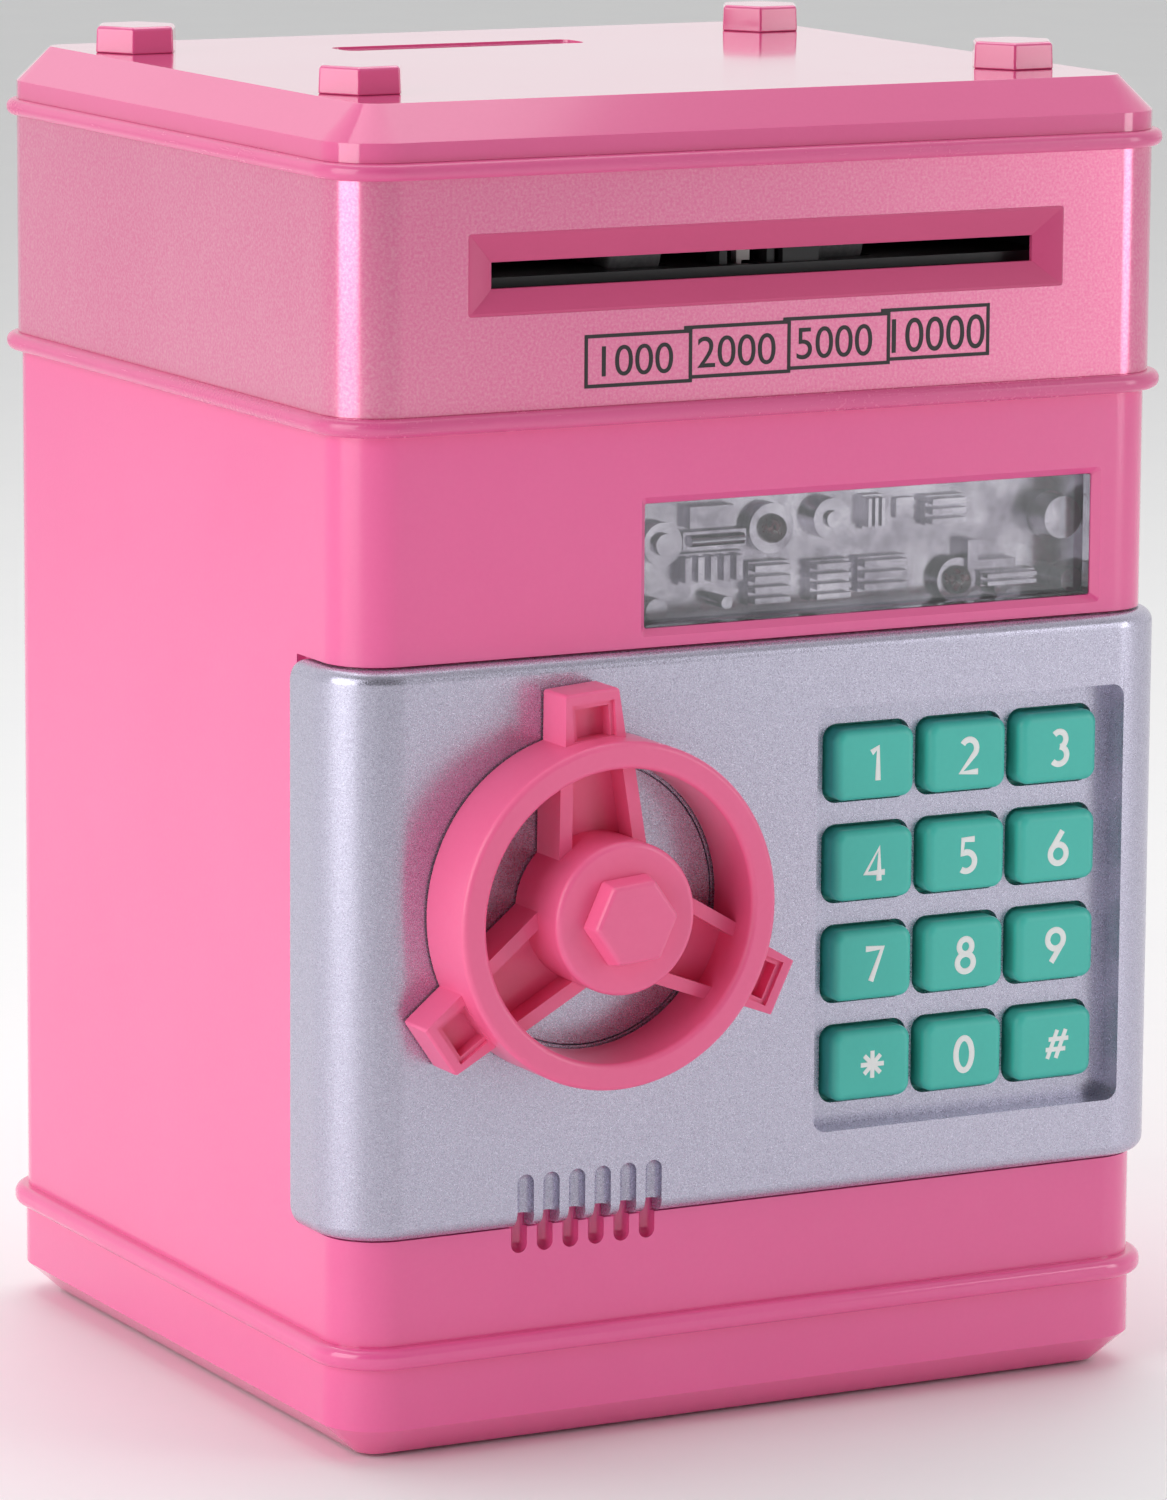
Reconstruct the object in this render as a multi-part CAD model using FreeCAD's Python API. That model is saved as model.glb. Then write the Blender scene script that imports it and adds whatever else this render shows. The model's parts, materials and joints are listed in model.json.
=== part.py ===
import FreeCAD, Part
import math
import os
from FreeCAD import Vector

os.makedirs("parts", exist_ok=True)

# Toy safe coin bank. Millimetres, +Z up, the door faces -Y.
# Every drawing below is made about the middle of the case, on the underside of the base.
FRAME_SHIFT = Vector(0, 8.1, 0.6)

# case
HALF_W = 65.35
HALF_D = 59.15
CORNER_R = 8.0
WALL = 3.0
BASE_TOP = 16.6
BASE_BEAD = 13.5
BASE_CHAMFER = 4.5
WAIST_LOW = 144.8
WAIST_TOP = 147.4
CROWN_LOW = 179.9
CROWN_TOP = 182.3
LID_SKIRT = 185.0
LID_TOP = 190.0
POST_LOW = 171.5
SAFE_FLOOR = 36.0
DECK_LOW = 109.5
DECK_TOP = 111.5
HEAD_OUT = 0.6
FRONT = -HALF_D
HEAD_FRONT = FRONT - HEAD_OUT
INNER_X = HALF_W - WALL
INNER_Y = HALF_D - WALL

# door
DOOR_OUT = 2.0
DOOR_GAP = 0.3
REBATE = 1.3
DOOR_LOW = 32.0
DOOR_TOP = 112.6
DOOR_BACK = -43.0
DOOR_FACE = FRONT - DOOR_OUT
SKIN_BACK = FRONT + REBATE - DOOR_GAP
EDGE_R = 2.0
BARREL_R = 3.46
HINGE_X = HALF_W + DOOR_OUT - BARREL_R
HINGE_Y = DOOR_BACK - BARREL_R
HINGE_PIN_R = 1.0
COVER_BACK = -45.3

# keypad
PAD_X0, PAD_X1 = 7.5, 58.4
PAD_Z0, PAD_Z1 = 40.9, 102.5
PAD_DEPTH = 4.0
KEY_COLUMNS = (17.7, 32.95, 48.2)
KEY_ROWS = (93.65, 79.05, 64.45, 49.85)
KEY_NAMES = ("1", "2", "3", "4", "5", "6", "7", "8", "9", "star", "0", "hash")
KEY_W, KEY_H = 13.1, 10.3
KEY_GAP = 0.3
KEY_HOLE_GAP = 0.6
KEY_RISE = 3.0
PAD_FLOOR = DOOR_FACE + PAD_DEPTH
PAD_BACK = PAD_FLOOR + 1.6
BOARD_Y = -52.0

# handwheel
WHEEL_X, WHEEL_Z = -29.95, 77.85
WHEEL_TILT = 94.5
RIM_R, RIM_INNER_R = 24.6, 20.75
HUB_R = 10.86
WHEEL_BACK = FRONT - 2.4
RIM_FRONT = FRONT - 13.6
HUB_FRONT = FRONT - 15.1
CAP_FRONT = FRONT - 18.5
PLATE_R = 20.2

# window
WIN_X0, WIN_X1 = -19.0, 54.0
WIN_Z0, WIN_Z1 = 115.4, 133.1
PANEL_Y = FRONT + 10.0

# note slot and feeder
SLOT_Z = 166.45
THROAT_Z = 166.15
ROLLER_X = 16.3
ROLLER_R = 6.0
ROLLER_Y = -43.8
DRIVE_Z = 155.9
PINCH_Z = 168.3
MOTOR_Y, MOTOR_Z = -30.8, 151.9
SIDE_PLATE_X = 48.0

# lid
STUDS = ((-52.8, -36.8), (52.4, -36.8), (-52.8, 38.8), (52.4, 38.8))
COIN_X, COIN_Y = -4.0, 30.0


def save(name, shape):
    """Move one finished piece into the shared frame and write it."""
    placed = shape.copy()
    placed.translate(FRAME_SHIFT)
    placed.exportStep("parts/" + name + ".step")


def block(x0, x1, y0, y1, z0, z1):
    return Part.makeBox(x1 - x0, y1 - y0, z1 - z0, Vector(x0, y0, z0))


def rod(axis, r, start, end, u, v):
    """A cylinder along one axis; u and v are the other two coordinates in X, Y, Z order."""
    if axis == "x":
        return Part.makeCylinder(r, end - start, Vector(start, u, v), Vector(1, 0, 0))
    if axis == "y":
        return Part.makeCylinder(r, end - start, Vector(u, start, v), Vector(0, 1, 0))
    return Part.makeCylinder(r, end - start, Vector(u, v, start), Vector(0, 0, 1))


def rounded_wire(u0, u1, v0, v1, r, place):
    """A rounded rectangle; place turns (u, v) into a point."""
    k = r * (1 - math.sqrt(0.5))
    edges = []
    corners = (
        ((u0 + r, v0), (u1 - r, v0), (u1 - k, v0 + k), (u1, v0 + r)),
        ((u1, v0 + r), (u1, v1 - r), (u1 - k, v1 - k), (u1 - r, v1)),
        ((u1 - r, v1), (u0 + r, v1), (u0 + k, v1 - k), (u0, v1 - r)),
        ((u0, v1 - r), (u0, v0 + r), (u0 + k, v0 + k), (u0 + r, v0)),
    )
    for a, b, m, e in corners:
        edges.append(Part.makeLine(place(*a), place(*b)))
        edges.append(Part.Arc(place(*b), place(*m), place(*e)).toShape())
    return Part.Wire(edges)


def slab_z(x0, x1, y0, y1, z0, z1, r):
    wire = rounded_wire(x0, x1, y0, y1, r, lambda u, v: Vector(u, v, z0))
    return Part.Face(wire).extrude(Vector(0, 0, z1 - z0))


def slab_y(x0, x1, z0, z1, y0, y1, r):
    wire = rounded_wire(x0, x1, z0, z1, r, lambda u, v: Vector(u, y0, v))
    return Part.Face(wire).extrude(Vector(0, y1 - y0, 0))


def case_wire(out, z):
    x = HALF_W + out
    y = HALF_D + out
    return rounded_wire(-x, x, -y, y, max(CORNER_R + out, 1.0), lambda u, v: Vector(u, v, z))


def case_prism(out, z0, z1):
    """The plan of the case, grown outwards by out, between two heights."""
    return Part.Face(case_wire(out, z0)).extrude(Vector(0, 0, z1 - z0))


def case_flare(out0, z0, out1, z1):
    return Part.makeLoft([case_wire(out0, z0), case_wire(out1, z1)], True, True)


def funnel_y(box0, y0, box1, y1, r0, r1):
    wire0 = rounded_wire(*box0, r0, lambda u, v: Vector(u, y0, v))
    wire1 = rounded_wire(*box1, r1, lambda u, v: Vector(u, y1, v))
    return Part.makeLoft([wire0, wire1], True, True)


def fuse_all(shapes):
    return shapes[0].multiFuse(shapes[1:]).removeSplitter()


def edges_at(shape, test):
    """Edges whose two ends and middle all pass the test."""
    found = []
    for edge in shape.Edges:
        middle = edge.valueAt((edge.FirstParameter + edge.LastParameter) / 2)
        points = [vertex.Point for vertex in edge.Vertexes] + [middle]
        if all(test(p) for p in points):
            found.append(edge)
    return found


def gear(axis, teeth, module, backlash, start, end, u, v, phase):
    """A spur gear with slim straight-sided teeth; phase is the angle of one tooth in degrees."""
    pitch = teeth * module / 2
    root = pitch - 1.25 * module
    tip = pitch + module
    thick = math.pi * module / 2 - backlash
    pieces = []
    for i in range(teeth):
        angle = math.radians(phase + 360.0 * i / teeth)
        outline = []
        for radius, half in ((root - 0.3, thick * 0.62), (tip, thick * 0.26)):
            outline.append((radius, -half))
            outline.append((radius, half))
        order = (outline[0], outline[2], outline[3], outline[1])
        points = []
        for a, b in order:
            p = a * math.cos(angle) - b * math.sin(angle)
            q = a * math.sin(angle) + b * math.cos(angle)
            if axis == "x":
                points.append(Vector(start, u + p, v + q))
            else:
                points.append(Vector(u + p, start, v + q))
        step = Vector(end - start, 0, 0) if axis == "x" else Vector(0, end - start, 0)
        pieces.append(Part.Face(Part.makePolygon(points + [points[0]])).extrude(step))
    return fuse_all([rod(axis, root, start, end, u, v)] + pieces)


def body_shell():
    """Four walls with the safe's floor, the deck, the doorway, the rebate for the door and the window."""
    shell = case_prism(0, BASE_TOP, WAIST_LOW).cut(case_prism(-WALL, BASE_TOP - 1, WAIST_LOW + 1))
    parts = [shell]
    parts.append(case_prism(-WALL, SAFE_FLOOR - 2, SAFE_FLOOR))
    parts.append(case_prism(-WALL, DECK_LOW, DECK_TOP))
    parts.append(block(58.0, INNER_X + 1, -52.0, -41.0, 24.5, SAFE_FLOOR - 2))
    parts.append(block(58.0, INNER_X + 1, -52.0, -41.0, DECK_TOP, 121.0))
    for x in (-54, 54):
        for y in (-36, 36):
            parts.append(rod("z", 4.0, BASE_TOP, SAFE_FLOOR - 2, x, y))
    for x in (-42, 42):
        for z in (118.5, 137.5):
            parts.append(rod("y", 3.0, 54.0, INNER_Y, x, z))
    shell = fuse_all(parts)
    band = case_prism(4, DOOR_LOW - DOOR_GAP, DOOR_TOP + DOOR_GAP)
    band = band.cut(case_prism(-REBATE, DOOR_LOW - 1, DOOR_TOP + 1))
    band = band.common(block(-80, 80, -80, DOOR_BACK + 0.4, 0, 150))
    doorway = block(-50, 70, -70, -50, 37.0, 108.0)
    side_way = block(59, 70, -70, DOOR_BACK + 0.4, 37.0, 108.0)
    shell = shell.cut(band).cut(doorway).cut(side_way)
    low, top = DOOR_LOW - DOOR_GAP, DOOR_TOP + DOOR_GAP
    jamb = rod("z", 5.3, SAFE_FLOOR, DECK_LOW, HINGE_X, HINGE_Y)
    sector = block(60.2, HINGE_X, HINGE_Y + 2.6, HINGE_Y + 6, SAFE_FLOOR, DECK_LOW)
    shell = shell.fuse(jamb.common(sector))
    shell = shell.cut(rod("z", 3.85, low, top, HINGE_X, HINGE_Y))
    shell = shell.cut(rod("z", HINGE_PIN_R, 26.5, low, HINGE_X, HINGE_Y))
    shell = shell.cut(rod("z", HINGE_PIN_R, top, 118.5, HINGE_X, HINGE_Y))
    inner = (WIN_X0, WIN_X1, WIN_Z0, WIN_Z1)
    shell = shell.cut(slab_y(*inner, -70, -50, 0.4))
    outer = (WIN_X0 - 1.0, WIN_X1 + 1.0, WIN_Z0 - 1.0, WIN_Z1 + 1.0)
    shell = shell.cut(funnel_y(outer, FRONT - 0.01, inner, FRONT + 1.0, 0.6, 0.4))
    shell = shell.cut(block(-46, 46, -14, 8, DECK_LOW - 1, DECK_TOP + 1))
    shell = shell.cut(block(COIN_X - 16.5, COIN_X + 16.5, COIN_Y - 2.5, COIN_Y + 2.5, DECK_LOW - 1, DECK_TOP + 1))
    for x in (-54, 54):
        for y in (-36, 36):
            shell = shell.cut(rod("z", 1.2, BASE_TOP, 28.0, x, y))
    for x in (-42, 42):
        for z in (118.5, 137.5):
            shell = shell.cut(rod("y", 1.1, 54.0, 57.5, x, z))
    for x in groove_places():
        shell = shell.cut(groove(x, 1.35, 27.9, DOOR_LOW + 2.5, FRONT + 0.5))
    return shell.removeSplitter()


def groove_places():
    return [-38.7 + 4.07 * i for i in range(6)]


def groove(x, r, z0, z1, y):
    """A half-round vertical groove in a front face at y, with round ends."""
    bar = rod("z", r, z0 + r, z1 - r, x, y)
    ends = [Part.makeSphere(r, Vector(x, y, z0 + r)), Part.makeSphere(r, Vector(x, y, z1 - r))]
    return fuse_all([bar] + ends)


def base_tray():
    tray = case_flare(-4.7, 0, 0.3, BASE_CHAMFER)
    tray = tray.fuse(case_prism(0.3, BASE_CHAMFER, BASE_BEAD))
    bead = case_prism(2.0, BASE_BEAD, BASE_TOP)
    bead = bead.makeFillet(1.3, edges_at(bead, lambda p: p.z > BASE_TOP - 0.01 or p.z < BASE_BEAD + 0.01))
    tray = tray.fuse(bead)
    tray = tray.cut(case_prism(-WALL, 2.5, BASE_TOP + 1))
    bay = block(-31, 31, 0.5, 53.5, 2.5, 19.5).cut(block(-29, 29, 2.5, 51.5, 1, 18.0))
    parts = [tray, bay]
    for x in (-54, 54):
        for y in (-36, 36):
            parts.append(rod("z", 4.0, 2.5, BASE_TOP, x, y))
    parts.append(rod("z", 3.0, 2.5, 10.0, 0, -2.5))
    speaker_ring = rod("z", 21.5, 2.5, 5.0, 0, -31).cut(rod("z", 20.0, 2.0, 6.0, 0, -31))
    parts.append(speaker_ring)
    tray = fuse_all(parts)
    tray = tray.cut(block(-26.5, 26.5, 3.6, 50.4, -1, 4))
    tray = tray.cut(slab_z(-29, 29, 1.0, 53.0, -1, 1.8, 2.0))
    tray = tray.cut(slab_z(-6, 6, -6.0, 3.0, -1, 1.8, 2.0))
    tray = tray.cut(rod("z", 1.1, 0, 9.0, 0, -2.5))
    for x in (-54, 54):
        for y in (-36, 36):
            tray = tray.cut(rod("z", 2.8, -1, 8.0, x, y)).cut(rod("z", 1.2, 0, 17, x, y))
    for x in (-49, 49):
        for y in (-44, 44):
            tray = tray.cut(rod("z", 5.0, -1, 1.4, x, y))
    for ring, count in ((0, 1), (5, 6), (10, 12)):
        for i in range(count):
            a = 2 * math.pi * i / count
            tray = tray.cut(rod("z", 1.1, -1, 3, ring * math.cos(a), -31 + ring * math.sin(a)))
    return tray


def round_band(out, z0, z1):
    band = case_prism(out, z0, z1)
    band = band.makeFillet((z1 - z0) / 2 - 0.1, edges_at(band, lambda p: abs(p.z - z0) < 0.01 or abs(p.z - z1) < 0.01))
    return band.cut(case_prism(-WALL, z0 - 1, z1 + 1))


def head_shell():
    shell = case_prism(HEAD_OUT, WAIST_TOP, CROWN_LOW).cut(case_prism(-WALL, WAIST_TOP - 1, CROWN_LOW + 1))
    parts = [shell]
    for x, y in STUDS:
        side = math.copysign(1, x)
        parts.append(rod("z", 3.4, POST_LOW, CROWN_LOW, x, y))
        rib = sorted((x + side * 2.8, side * (INNER_X + 0.5)))
        parts.append(block(rib[0], rib[1], y - 1, y + 1, POST_LOW, CROWN_LOW))
    for side in (-1, 1):
        x0, x1 = sorted((side * SIDE_PLATE_X, side * (INNER_X + 0.5)))
        parts.append(block(x0, x1, -26, -14, WAIST_TOP, 149.0))
    shell = fuse_all(parts)
    shell = shell.cut(slab_y(-47.5, 47.5, SLOT_Z - 5.7, SLOT_Z + 5.7, -70, -50, 0.5))
    for x, y in STUDS:
        shell = shell.cut(rod("z", 2.0, 165, CROWN_LOW + 1, x, y))
    return shell


def slot_bezel():
    """A mitred funnel round the note slot, with a flange behind the wall."""
    outer = (-47.5, 47.5, SLOT_Z - 5.7, SLOT_Z + 5.7)
    throat = (-43.25, 43.25, THROAT_Z - 1.85, THROAT_Z + 1.85)
    bezel = slab_y(*outer, HEAD_FRONT, -INNER_Y, 0.5)
    bezel = bezel.fuse(slab_y(-50.5, 50.5, SLOT_Z - 8, SLOT_Z + 8, -INNER_Y, -INNER_Y + 1.5, 1.0))
    mouth = (-47.1, 47.1, SLOT_Z - 5.3, SLOT_Z + 5.3)
    bezel = bezel.cut(funnel_y(mouth, HEAD_FRONT - 0.01, throat, HEAD_FRONT + 1.5, 0.1, 0.1))
    hollow = (-45.2, 45.2, THROAT_Z - 3.6, THROAT_Z + 3.6)
    bezel = bezel.cut(slab_y(*hollow, HEAD_FRONT + 2.2, -50, 0.5))
    return bezel.cut(slab_y(*throat, -62, -50, 0.1)).removeSplitter()


def lid():
    top = case_prism(HEAD_OUT, CROWN_TOP, LID_SKIRT).fuse(case_flare(HEAD_OUT, LID_SKIRT, -4.4, LID_TOP))
    top = top.removeSplitter()
    top = top.cut(case_prism(-WALL, CROWN_TOP - 1, 184.6)).cut(case_prism(-6.5, 184.5, LID_TOP - 3))
    parts = [top]
    for x, y in STUDS:
        parts.append(rod("z", 4.2, CROWN_TOP, LID_TOP - 2.5, x, y))
    top = fuse_all(parts)
    top = top.cut(slab_z(COIN_X - 20, COIN_X + 20, COIN_Y - 3.6, COIN_Y + 3.6, LID_TOP - 0.4, LID_TOP + 1, 2.0))
    top = top.cut(slab_z(COIN_X - 16.5, COIN_X + 16.5, COIN_Y - 2.2, COIN_Y + 2.2, LID_TOP - 4, LID_TOP + 1, 0.5))
    for x, y in STUDS:
        top = top.cut(rod("z", 2.0, CROWN_TOP - 1, LID_TOP + 1, x, y))
    return top


def crown_band():
    band = round_band(2.1, CROWN_LOW, CROWN_TOP)
    posts = []
    for x, y in STUDS:
        posts.append(rod("z", 4.2, CROWN_LOW, CROWN_TOP, x, y))
        side = math.copysign(1, x)
        rib = sorted((x + side * 3.5, side * (INNER_X + 0.5)))
        posts.append(block(rib[0], rib[1], y - 1, y + 1, CROWN_LOW, CROWN_TOP))
    band = fuse_all([band] + posts)
    for x, y in STUDS:
        band = band.cut(rod("z", 2.0, CROWN_LOW - 1, CROWN_TOP + 1, x, y))
    return band


def hexagon(r, z, x, y, turn):
    points = []
    for i in range(7):
        a = math.radians(turn + 60 * i)
        points.append(Vector(x + r * math.cos(a), y + r * math.sin(a), z))
    return Part.makePolygon(points)


def hex_studs():
    """Hexagon-headed studs: the four screws that hold the lid down."""
    studs = []
    for x, y in STUDS:
        head = Part.makeLoft([hexagon(6.6, LID_TOP, x, y, 2), hexagon(6.45, LID_TOP + 3.6, x, y, 2)], True, True)
        cap = Part.makeLoft([hexagon(6.45, LID_TOP + 3.6, x, y, 2), hexagon(6.0, LID_TOP + 3.95, x, y, 2)], True, True)
        studs.append(fuse_all([head, cap, rod("z", 2.0, POST_LOW + 1, LID_TOP, x, y)]))
    return Part.makeCompound(studs)


def amount_print():
    """Four thin printed frames under the note slot, each a little higher than the last."""
    frames = []
    covered = []
    for x0, x1, z0 in ((-29.5, -12.6, 150.0), (-13.9, 3.1, 150.5), (1.9, 19.2, 150.9), (17.7, 35.5, 151.35)):
        outer = block(x0, x1, HEAD_FRONT - 0.08, HEAD_FRONT, z0, z0 + 7.45)
        line = outer.cut(block(x0 + 0.5, x1 - 0.5, -70, -50, z0 + 0.5, z0 + 6.95))
        frames.append(line.cut(covered) if covered else line)
        covered.append(outer)
    return fuse_all(frames)


def window_lens():
    lens = slab_y(WIN_X0 - 1.5, WIN_X1 + 3.5, WIN_Z0 - 1.5, WIN_Z1 + 1.5, -INNER_Y, -INNER_Y + 1.2, 0.5)
    step = slab_y(WIN_X0 + 0.1, WIN_X1 - 0.1, WIN_Z0 + 0.1, WIN_Z1 - 0.1, FRONT + 1.2, -INNER_Y, 0.3)
    return lens.fuse(step).removeSplitter()


def window_panel():
    """A moulded show panel behind the lens: rings, bosses, louvred blocks and bars."""
    x0, x1, z0, z1 = WIN_X0 - 1.5, WIN_X1 + 3.5, WIN_Z0 - 1.5, WIN_Z1 + 1.5
    front = -INNER_Y + 1.2
    box = block(x0, x1, front, PANEL_Y + 1.2, z0, z1)
    box = box.cut(block(x0 + 1, x1 - 1, front - 1, PANEL_Y, z0 + 1, z1 - 1))
    parts = [box]
    for x, z, r, rise in (
        (-12.3, 126.0, 3.1, 2.0), (-12.3, 126.0, 1.6, 3.0), (-13.2, 116.6, 1.7, 2.0), (14.8, 128.0, 3.0, 2.5),
        (14.8, 128.0, 1.2, 3.2), (52.0, 126.2, 3.5, 0.8), (52.0, 126.2, 3.1, 4.6), (53.9, 116.9, 2.1, 0.8),
        (53.9, 116.9, 1.8, 4.2), (-3.0, 117.3, 0.9, 4.0), (43.2, 116.0, 1.0, 2.0),
    ):
        parts.append(rod("y", r, PANEL_Y - rise, PANEL_Y, x, z))
    for x0, x1, z0, z1, bars in (
        (1.8, 8.4, 116.2, 122.4, 4), (11.9, 18.3, 116.2, 122.0, 4), (19.7, 27.6, 117.0, 122.0, 3),
        (30.8, 37.2, 125.9, 130.2, 3), (40.2, 49.2, 116.4, 118.6, 2),
    ):
        parts.append(block(x0, x1, PANEL_Y - 1.4, PANEL_Y, z0, z1))
        pitch = (z1 - z0) / bars
        for i in range(bars):
            low = z0 + pitch * (i + 0.2)
            parts.append(block(x0 + 0.4, x1 - 0.4, PANEL_Y - 2.8, PANEL_Y, low, low + pitch * 0.55))
    for x0, x1, z0, z1, bars in ((-9.3, 1.0, 119.8, 124.2, 5), (20.6, 23.9, 126.0, 130.9, 3)):
        parts.append(block(x0, x1, PANEL_Y - 1.0, PANEL_Y, z0, z1))
        pitch = (x1 - x0) / bars
        for i in range(bars):
            low = x0 + pitch * (i + 0.2)
            parts.append(block(low, low + pitch * 0.5, PANEL_Y - 2.4, PANEL_Y, z0 + 0.4, z1 - 0.4))
    parts.append(block(-8.0, -0.9, PANEL_Y - 2.0, PANEL_Y, 127.9, 131.0))
    parts.append(block(-8.9, 1.3, PANEL_Y - 1.6, PANEL_Y, 124.9, 127.4))
    parts.append(rod("x", 0.8, -8.0, 0.6, PANEL_Y - 2.0, 126.1))
    parts.append(block(37.3, 45.6, PANEL_Y - 2.2, PANEL_Y, 119.2, 120.4))
    parts.append(block(37.3, 39.0, PANEL_Y - 2.6, PANEL_Y, 119.2, 123.5))
    parts.append(block(26.3, 29.2, PANEL_Y - 0.8, PANEL_Y, 127.2, 130.1))
    panel = fuse_all(parts)
    for x, z, r in ((5.2, 127.2, 3.6), (35.8, 117.8, 3.2)):
        ring = rod("y", r, PANEL_Y - 2.0, PANEL_Y, x, z)
        panel = panel.fuse(ring).cut(rod("y", 2.1, PANEL_Y - 5, PANEL_Y + 2, x, z))
    return panel.removeSplitter()


def led_pair():
    leds = []
    for x, z in ((5.2, 127.2), (35.8, 117.8)):
        stem = rod("y", 2.1, PANEL_Y - 2.2, PANEL_Y + 1.2, x, z)
        dome = Part.makeSphere(2.1, Vector(x, PANEL_Y - 2.2, z))
        leds.append(fuse_all([stem, dome]))
    return Part.makeCompound(leds)


def panel_board():
    back = PANEL_Y + 1.2
    board = block(-18, 55, back, back + 1.6, 114.6, 134.0)
    chips = [block(-4, 4, back + 1.6, back + 2.8, 122, 128), block(20, 26, back + 1.6, back + 2.6, 119, 125)]
    return fuse_all([board] + chips)


def coin_chute():
    x0, x1 = COIN_X - 16.5, COIN_X + 16.5
    outer = block(x0 - 1.5, x1 + 1.5, COIN_Y - 4.0, COIN_Y + 4.0, DECK_TOP, LID_TOP - 3)
    return outer.cut(block(x0, x1, COIN_Y - 2.5, COIN_Y + 2.5, DECK_TOP - 1, LID_TOP))


def feeder_chassis():
    """Two side plates joined by a lower and an upper note guide."""
    back = -14.0
    front = -INNER_Y + 1.5
    parts = []
    for side in (-1, 1):
        x0, x1 = sorted((side * SIDE_PLATE_X, side * (SIDE_PLATE_X + 1.5)))
        parts.append(block(x0, x1, front, back, 150.0, POST_LOW - 0.1))
        parts.append(block(x0, x1, front, -26.2, 144.9, 150.0))
        x0, x1 = sorted((side * SIDE_PLATE_X, side * 57.0))
        parts.append(block(x0, x1, -25, back, 149.0, 150.2))
    low = block(-SIDE_PLATE_X, SIDE_PLATE_X, front, back, 158.8, 160.2)
    up = block(-SIDE_PLATE_X, SIDE_PLATE_X, front, back, 164.0, 165.4)
    for x in (-ROLLER_X, ROLLER_X):
        window = block(x - 5.0, x + 5.0, -51.0, -36.5, 156, 172)
        low = low.cut(window)
        up = up.cut(window)
    up = up.cut(block(-1.6, 1.6, -53.0, -40.0, 163, 171))
    parts.append(low)
    parts.append(up)
    for side in (-1, 1):
        x0, x1 = sorted((side * 3.2, side * 4.4))
        parts.append(block(x0, x1, -52.5, -48.5, 165.4, 175.5))
    chassis = fuse_all(parts)
    chassis = chassis.cut(rod("x", 1.55, -60, 60, ROLLER_Y, DRIVE_Z))
    chassis = chassis.cut(rod("x", 1.25, -60, 60, ROLLER_Y, PINCH_Z))
    chassis = chassis.cut(rod("x", 2.0, -60, -40, MOTOR_Y, MOTOR_Z))
    return chassis.cut(rod("x", 1.05, -6, 6, -50.5, 173.4))


def feeder_motor():
    can = rod("x", 6.2, -SIDE_PLATE_X, -24.0, MOTOR_Y, MOTOR_Z)
    nose = rod("x", 2.0, -SIDE_PLATE_X - 1.5, -SIDE_PLATE_X, MOTOR_Y, MOTOR_Z)
    tail = rod("x", 3.0, -24.0, -22.8, MOTOR_Y, MOTOR_Z)
    can = fuse_all([can, nose, tail])
    return can.cut(rod("x", 1.05, -52, -40, MOTOR_Y, MOTOR_Z))


def mesh_angle():
    return math.degrees(math.atan2(MOTOR_Z - DRIVE_Z, MOTOR_Y - ROLLER_Y))


def motor_pinion():
    pinion = gear("x", 10, 0.8, 0.42, -57.0, -52.5, MOTOR_Y, MOTOR_Z, mesh_angle() + 180)
    return pinion.fuse(rod("x", 1.0, -57.0, -41.0, MOTOR_Y, MOTOR_Z)).removeSplitter()


def drive_shaft():
    """The lower roller shaft with its gear."""
    wheel = gear("x", 24, 0.8, 0.42, -56.5, -53.0, ROLLER_Y, DRIVE_Z, mesh_angle() + 7.5)
    return wheel.fuse(rod("x", 1.5, -57.5, 51.0, ROLLER_Y, DRIVE_Z)).removeSplitter()


def roller_pair(z, bore):
    rollers = []
    for x in (-ROLLER_X, ROLLER_X):
        roll = rod("x", ROLLER_R, x - 4.3, x + 4.3, ROLLER_Y, z)
        roll = roll.makeFillet(0.5, edges_at(roll, lambda p: math.hypot(p.y - ROLLER_Y, p.z - z) > ROLLER_R - 0.01
                                             and abs(abs(p.x - x) - 4.3) < 0.01))
        rollers.append(roll.cut(rod("x", bore, x - 5, x + 5, ROLLER_Y, z)))
    return Part.makeCompound(rollers)


def sensor_lever():
    arm = block(-1.05, 1.05, -51.3, -49.7, 165.7, 173.4)
    finger = block(-1.05, -0.25, -51.3, -49.7, 163.6, 165.8)
    boss = rod("x", 2.0, -2.8, 2.8, -50.5, 173.4)
    return fuse_all([arm, finger, boss, rod("x", 1.0, -5.0, 5.0, -50.5, 173.4)])


def bill_sensor():
    return fuse_all([block(5.2, 11.0, -53.5, -47.5, 165.4, 170.0), block(6.2, 10.0, -52, -49, 170.0, 171.5)])


def main_board():
    board = block(-46, 46, 52.4, 54.0, 115.0, 141.0)
    for x in (-42, 42):
        for z in (118.5, 137.5):
            board = board.cut(rod("y", 1.1, 50, 56, x, z))
    return board


def board_parts():
    parts = []
    for x0, x1, z0, z1, t in ((-12, 6, 121, 135, 1.8), (12, 20, 124, 132, 1.5), (-34, -22, 117, 123, 5.0), (24, 34, 133, 139, 5.0)):
        parts.append(block(x0, x1, 52.4 - t, 52.4, z0, z1))
    for x, z in ((-28, 132), (-20, 132), (30, 124)):
        parts.append(rod("y", 3.0, 43.4, 52.4, x, z))
    return Part.makeCompound(parts)


def speaker():
    frame = rod("z", 20.0, 2.5, 5.5, 0, -31).fuse(rod("z", 8.0, 5.5, 11.0, 0, -31))
    cone = Part.makeCone(17.0, 6.0, 2.4, Vector(0, -31, 2.5))
    return frame.cut(cone).removeSplitter()


def battery_cells():
    cells = []
    for i in range(3):
        y = 11.0 + 16.0 * i
        side = 1 if i % 2 == 0 else -1
        can = rod("x", 7.1, -24.7, 24.7, y, 10.2)
        start, end = sorted((side * 24.7, side * 25.7))
        cells.append(can.fuse(rod("x", 2.7, start, end, y, 10.2)))
    return Part.makeCompound(cells)


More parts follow.
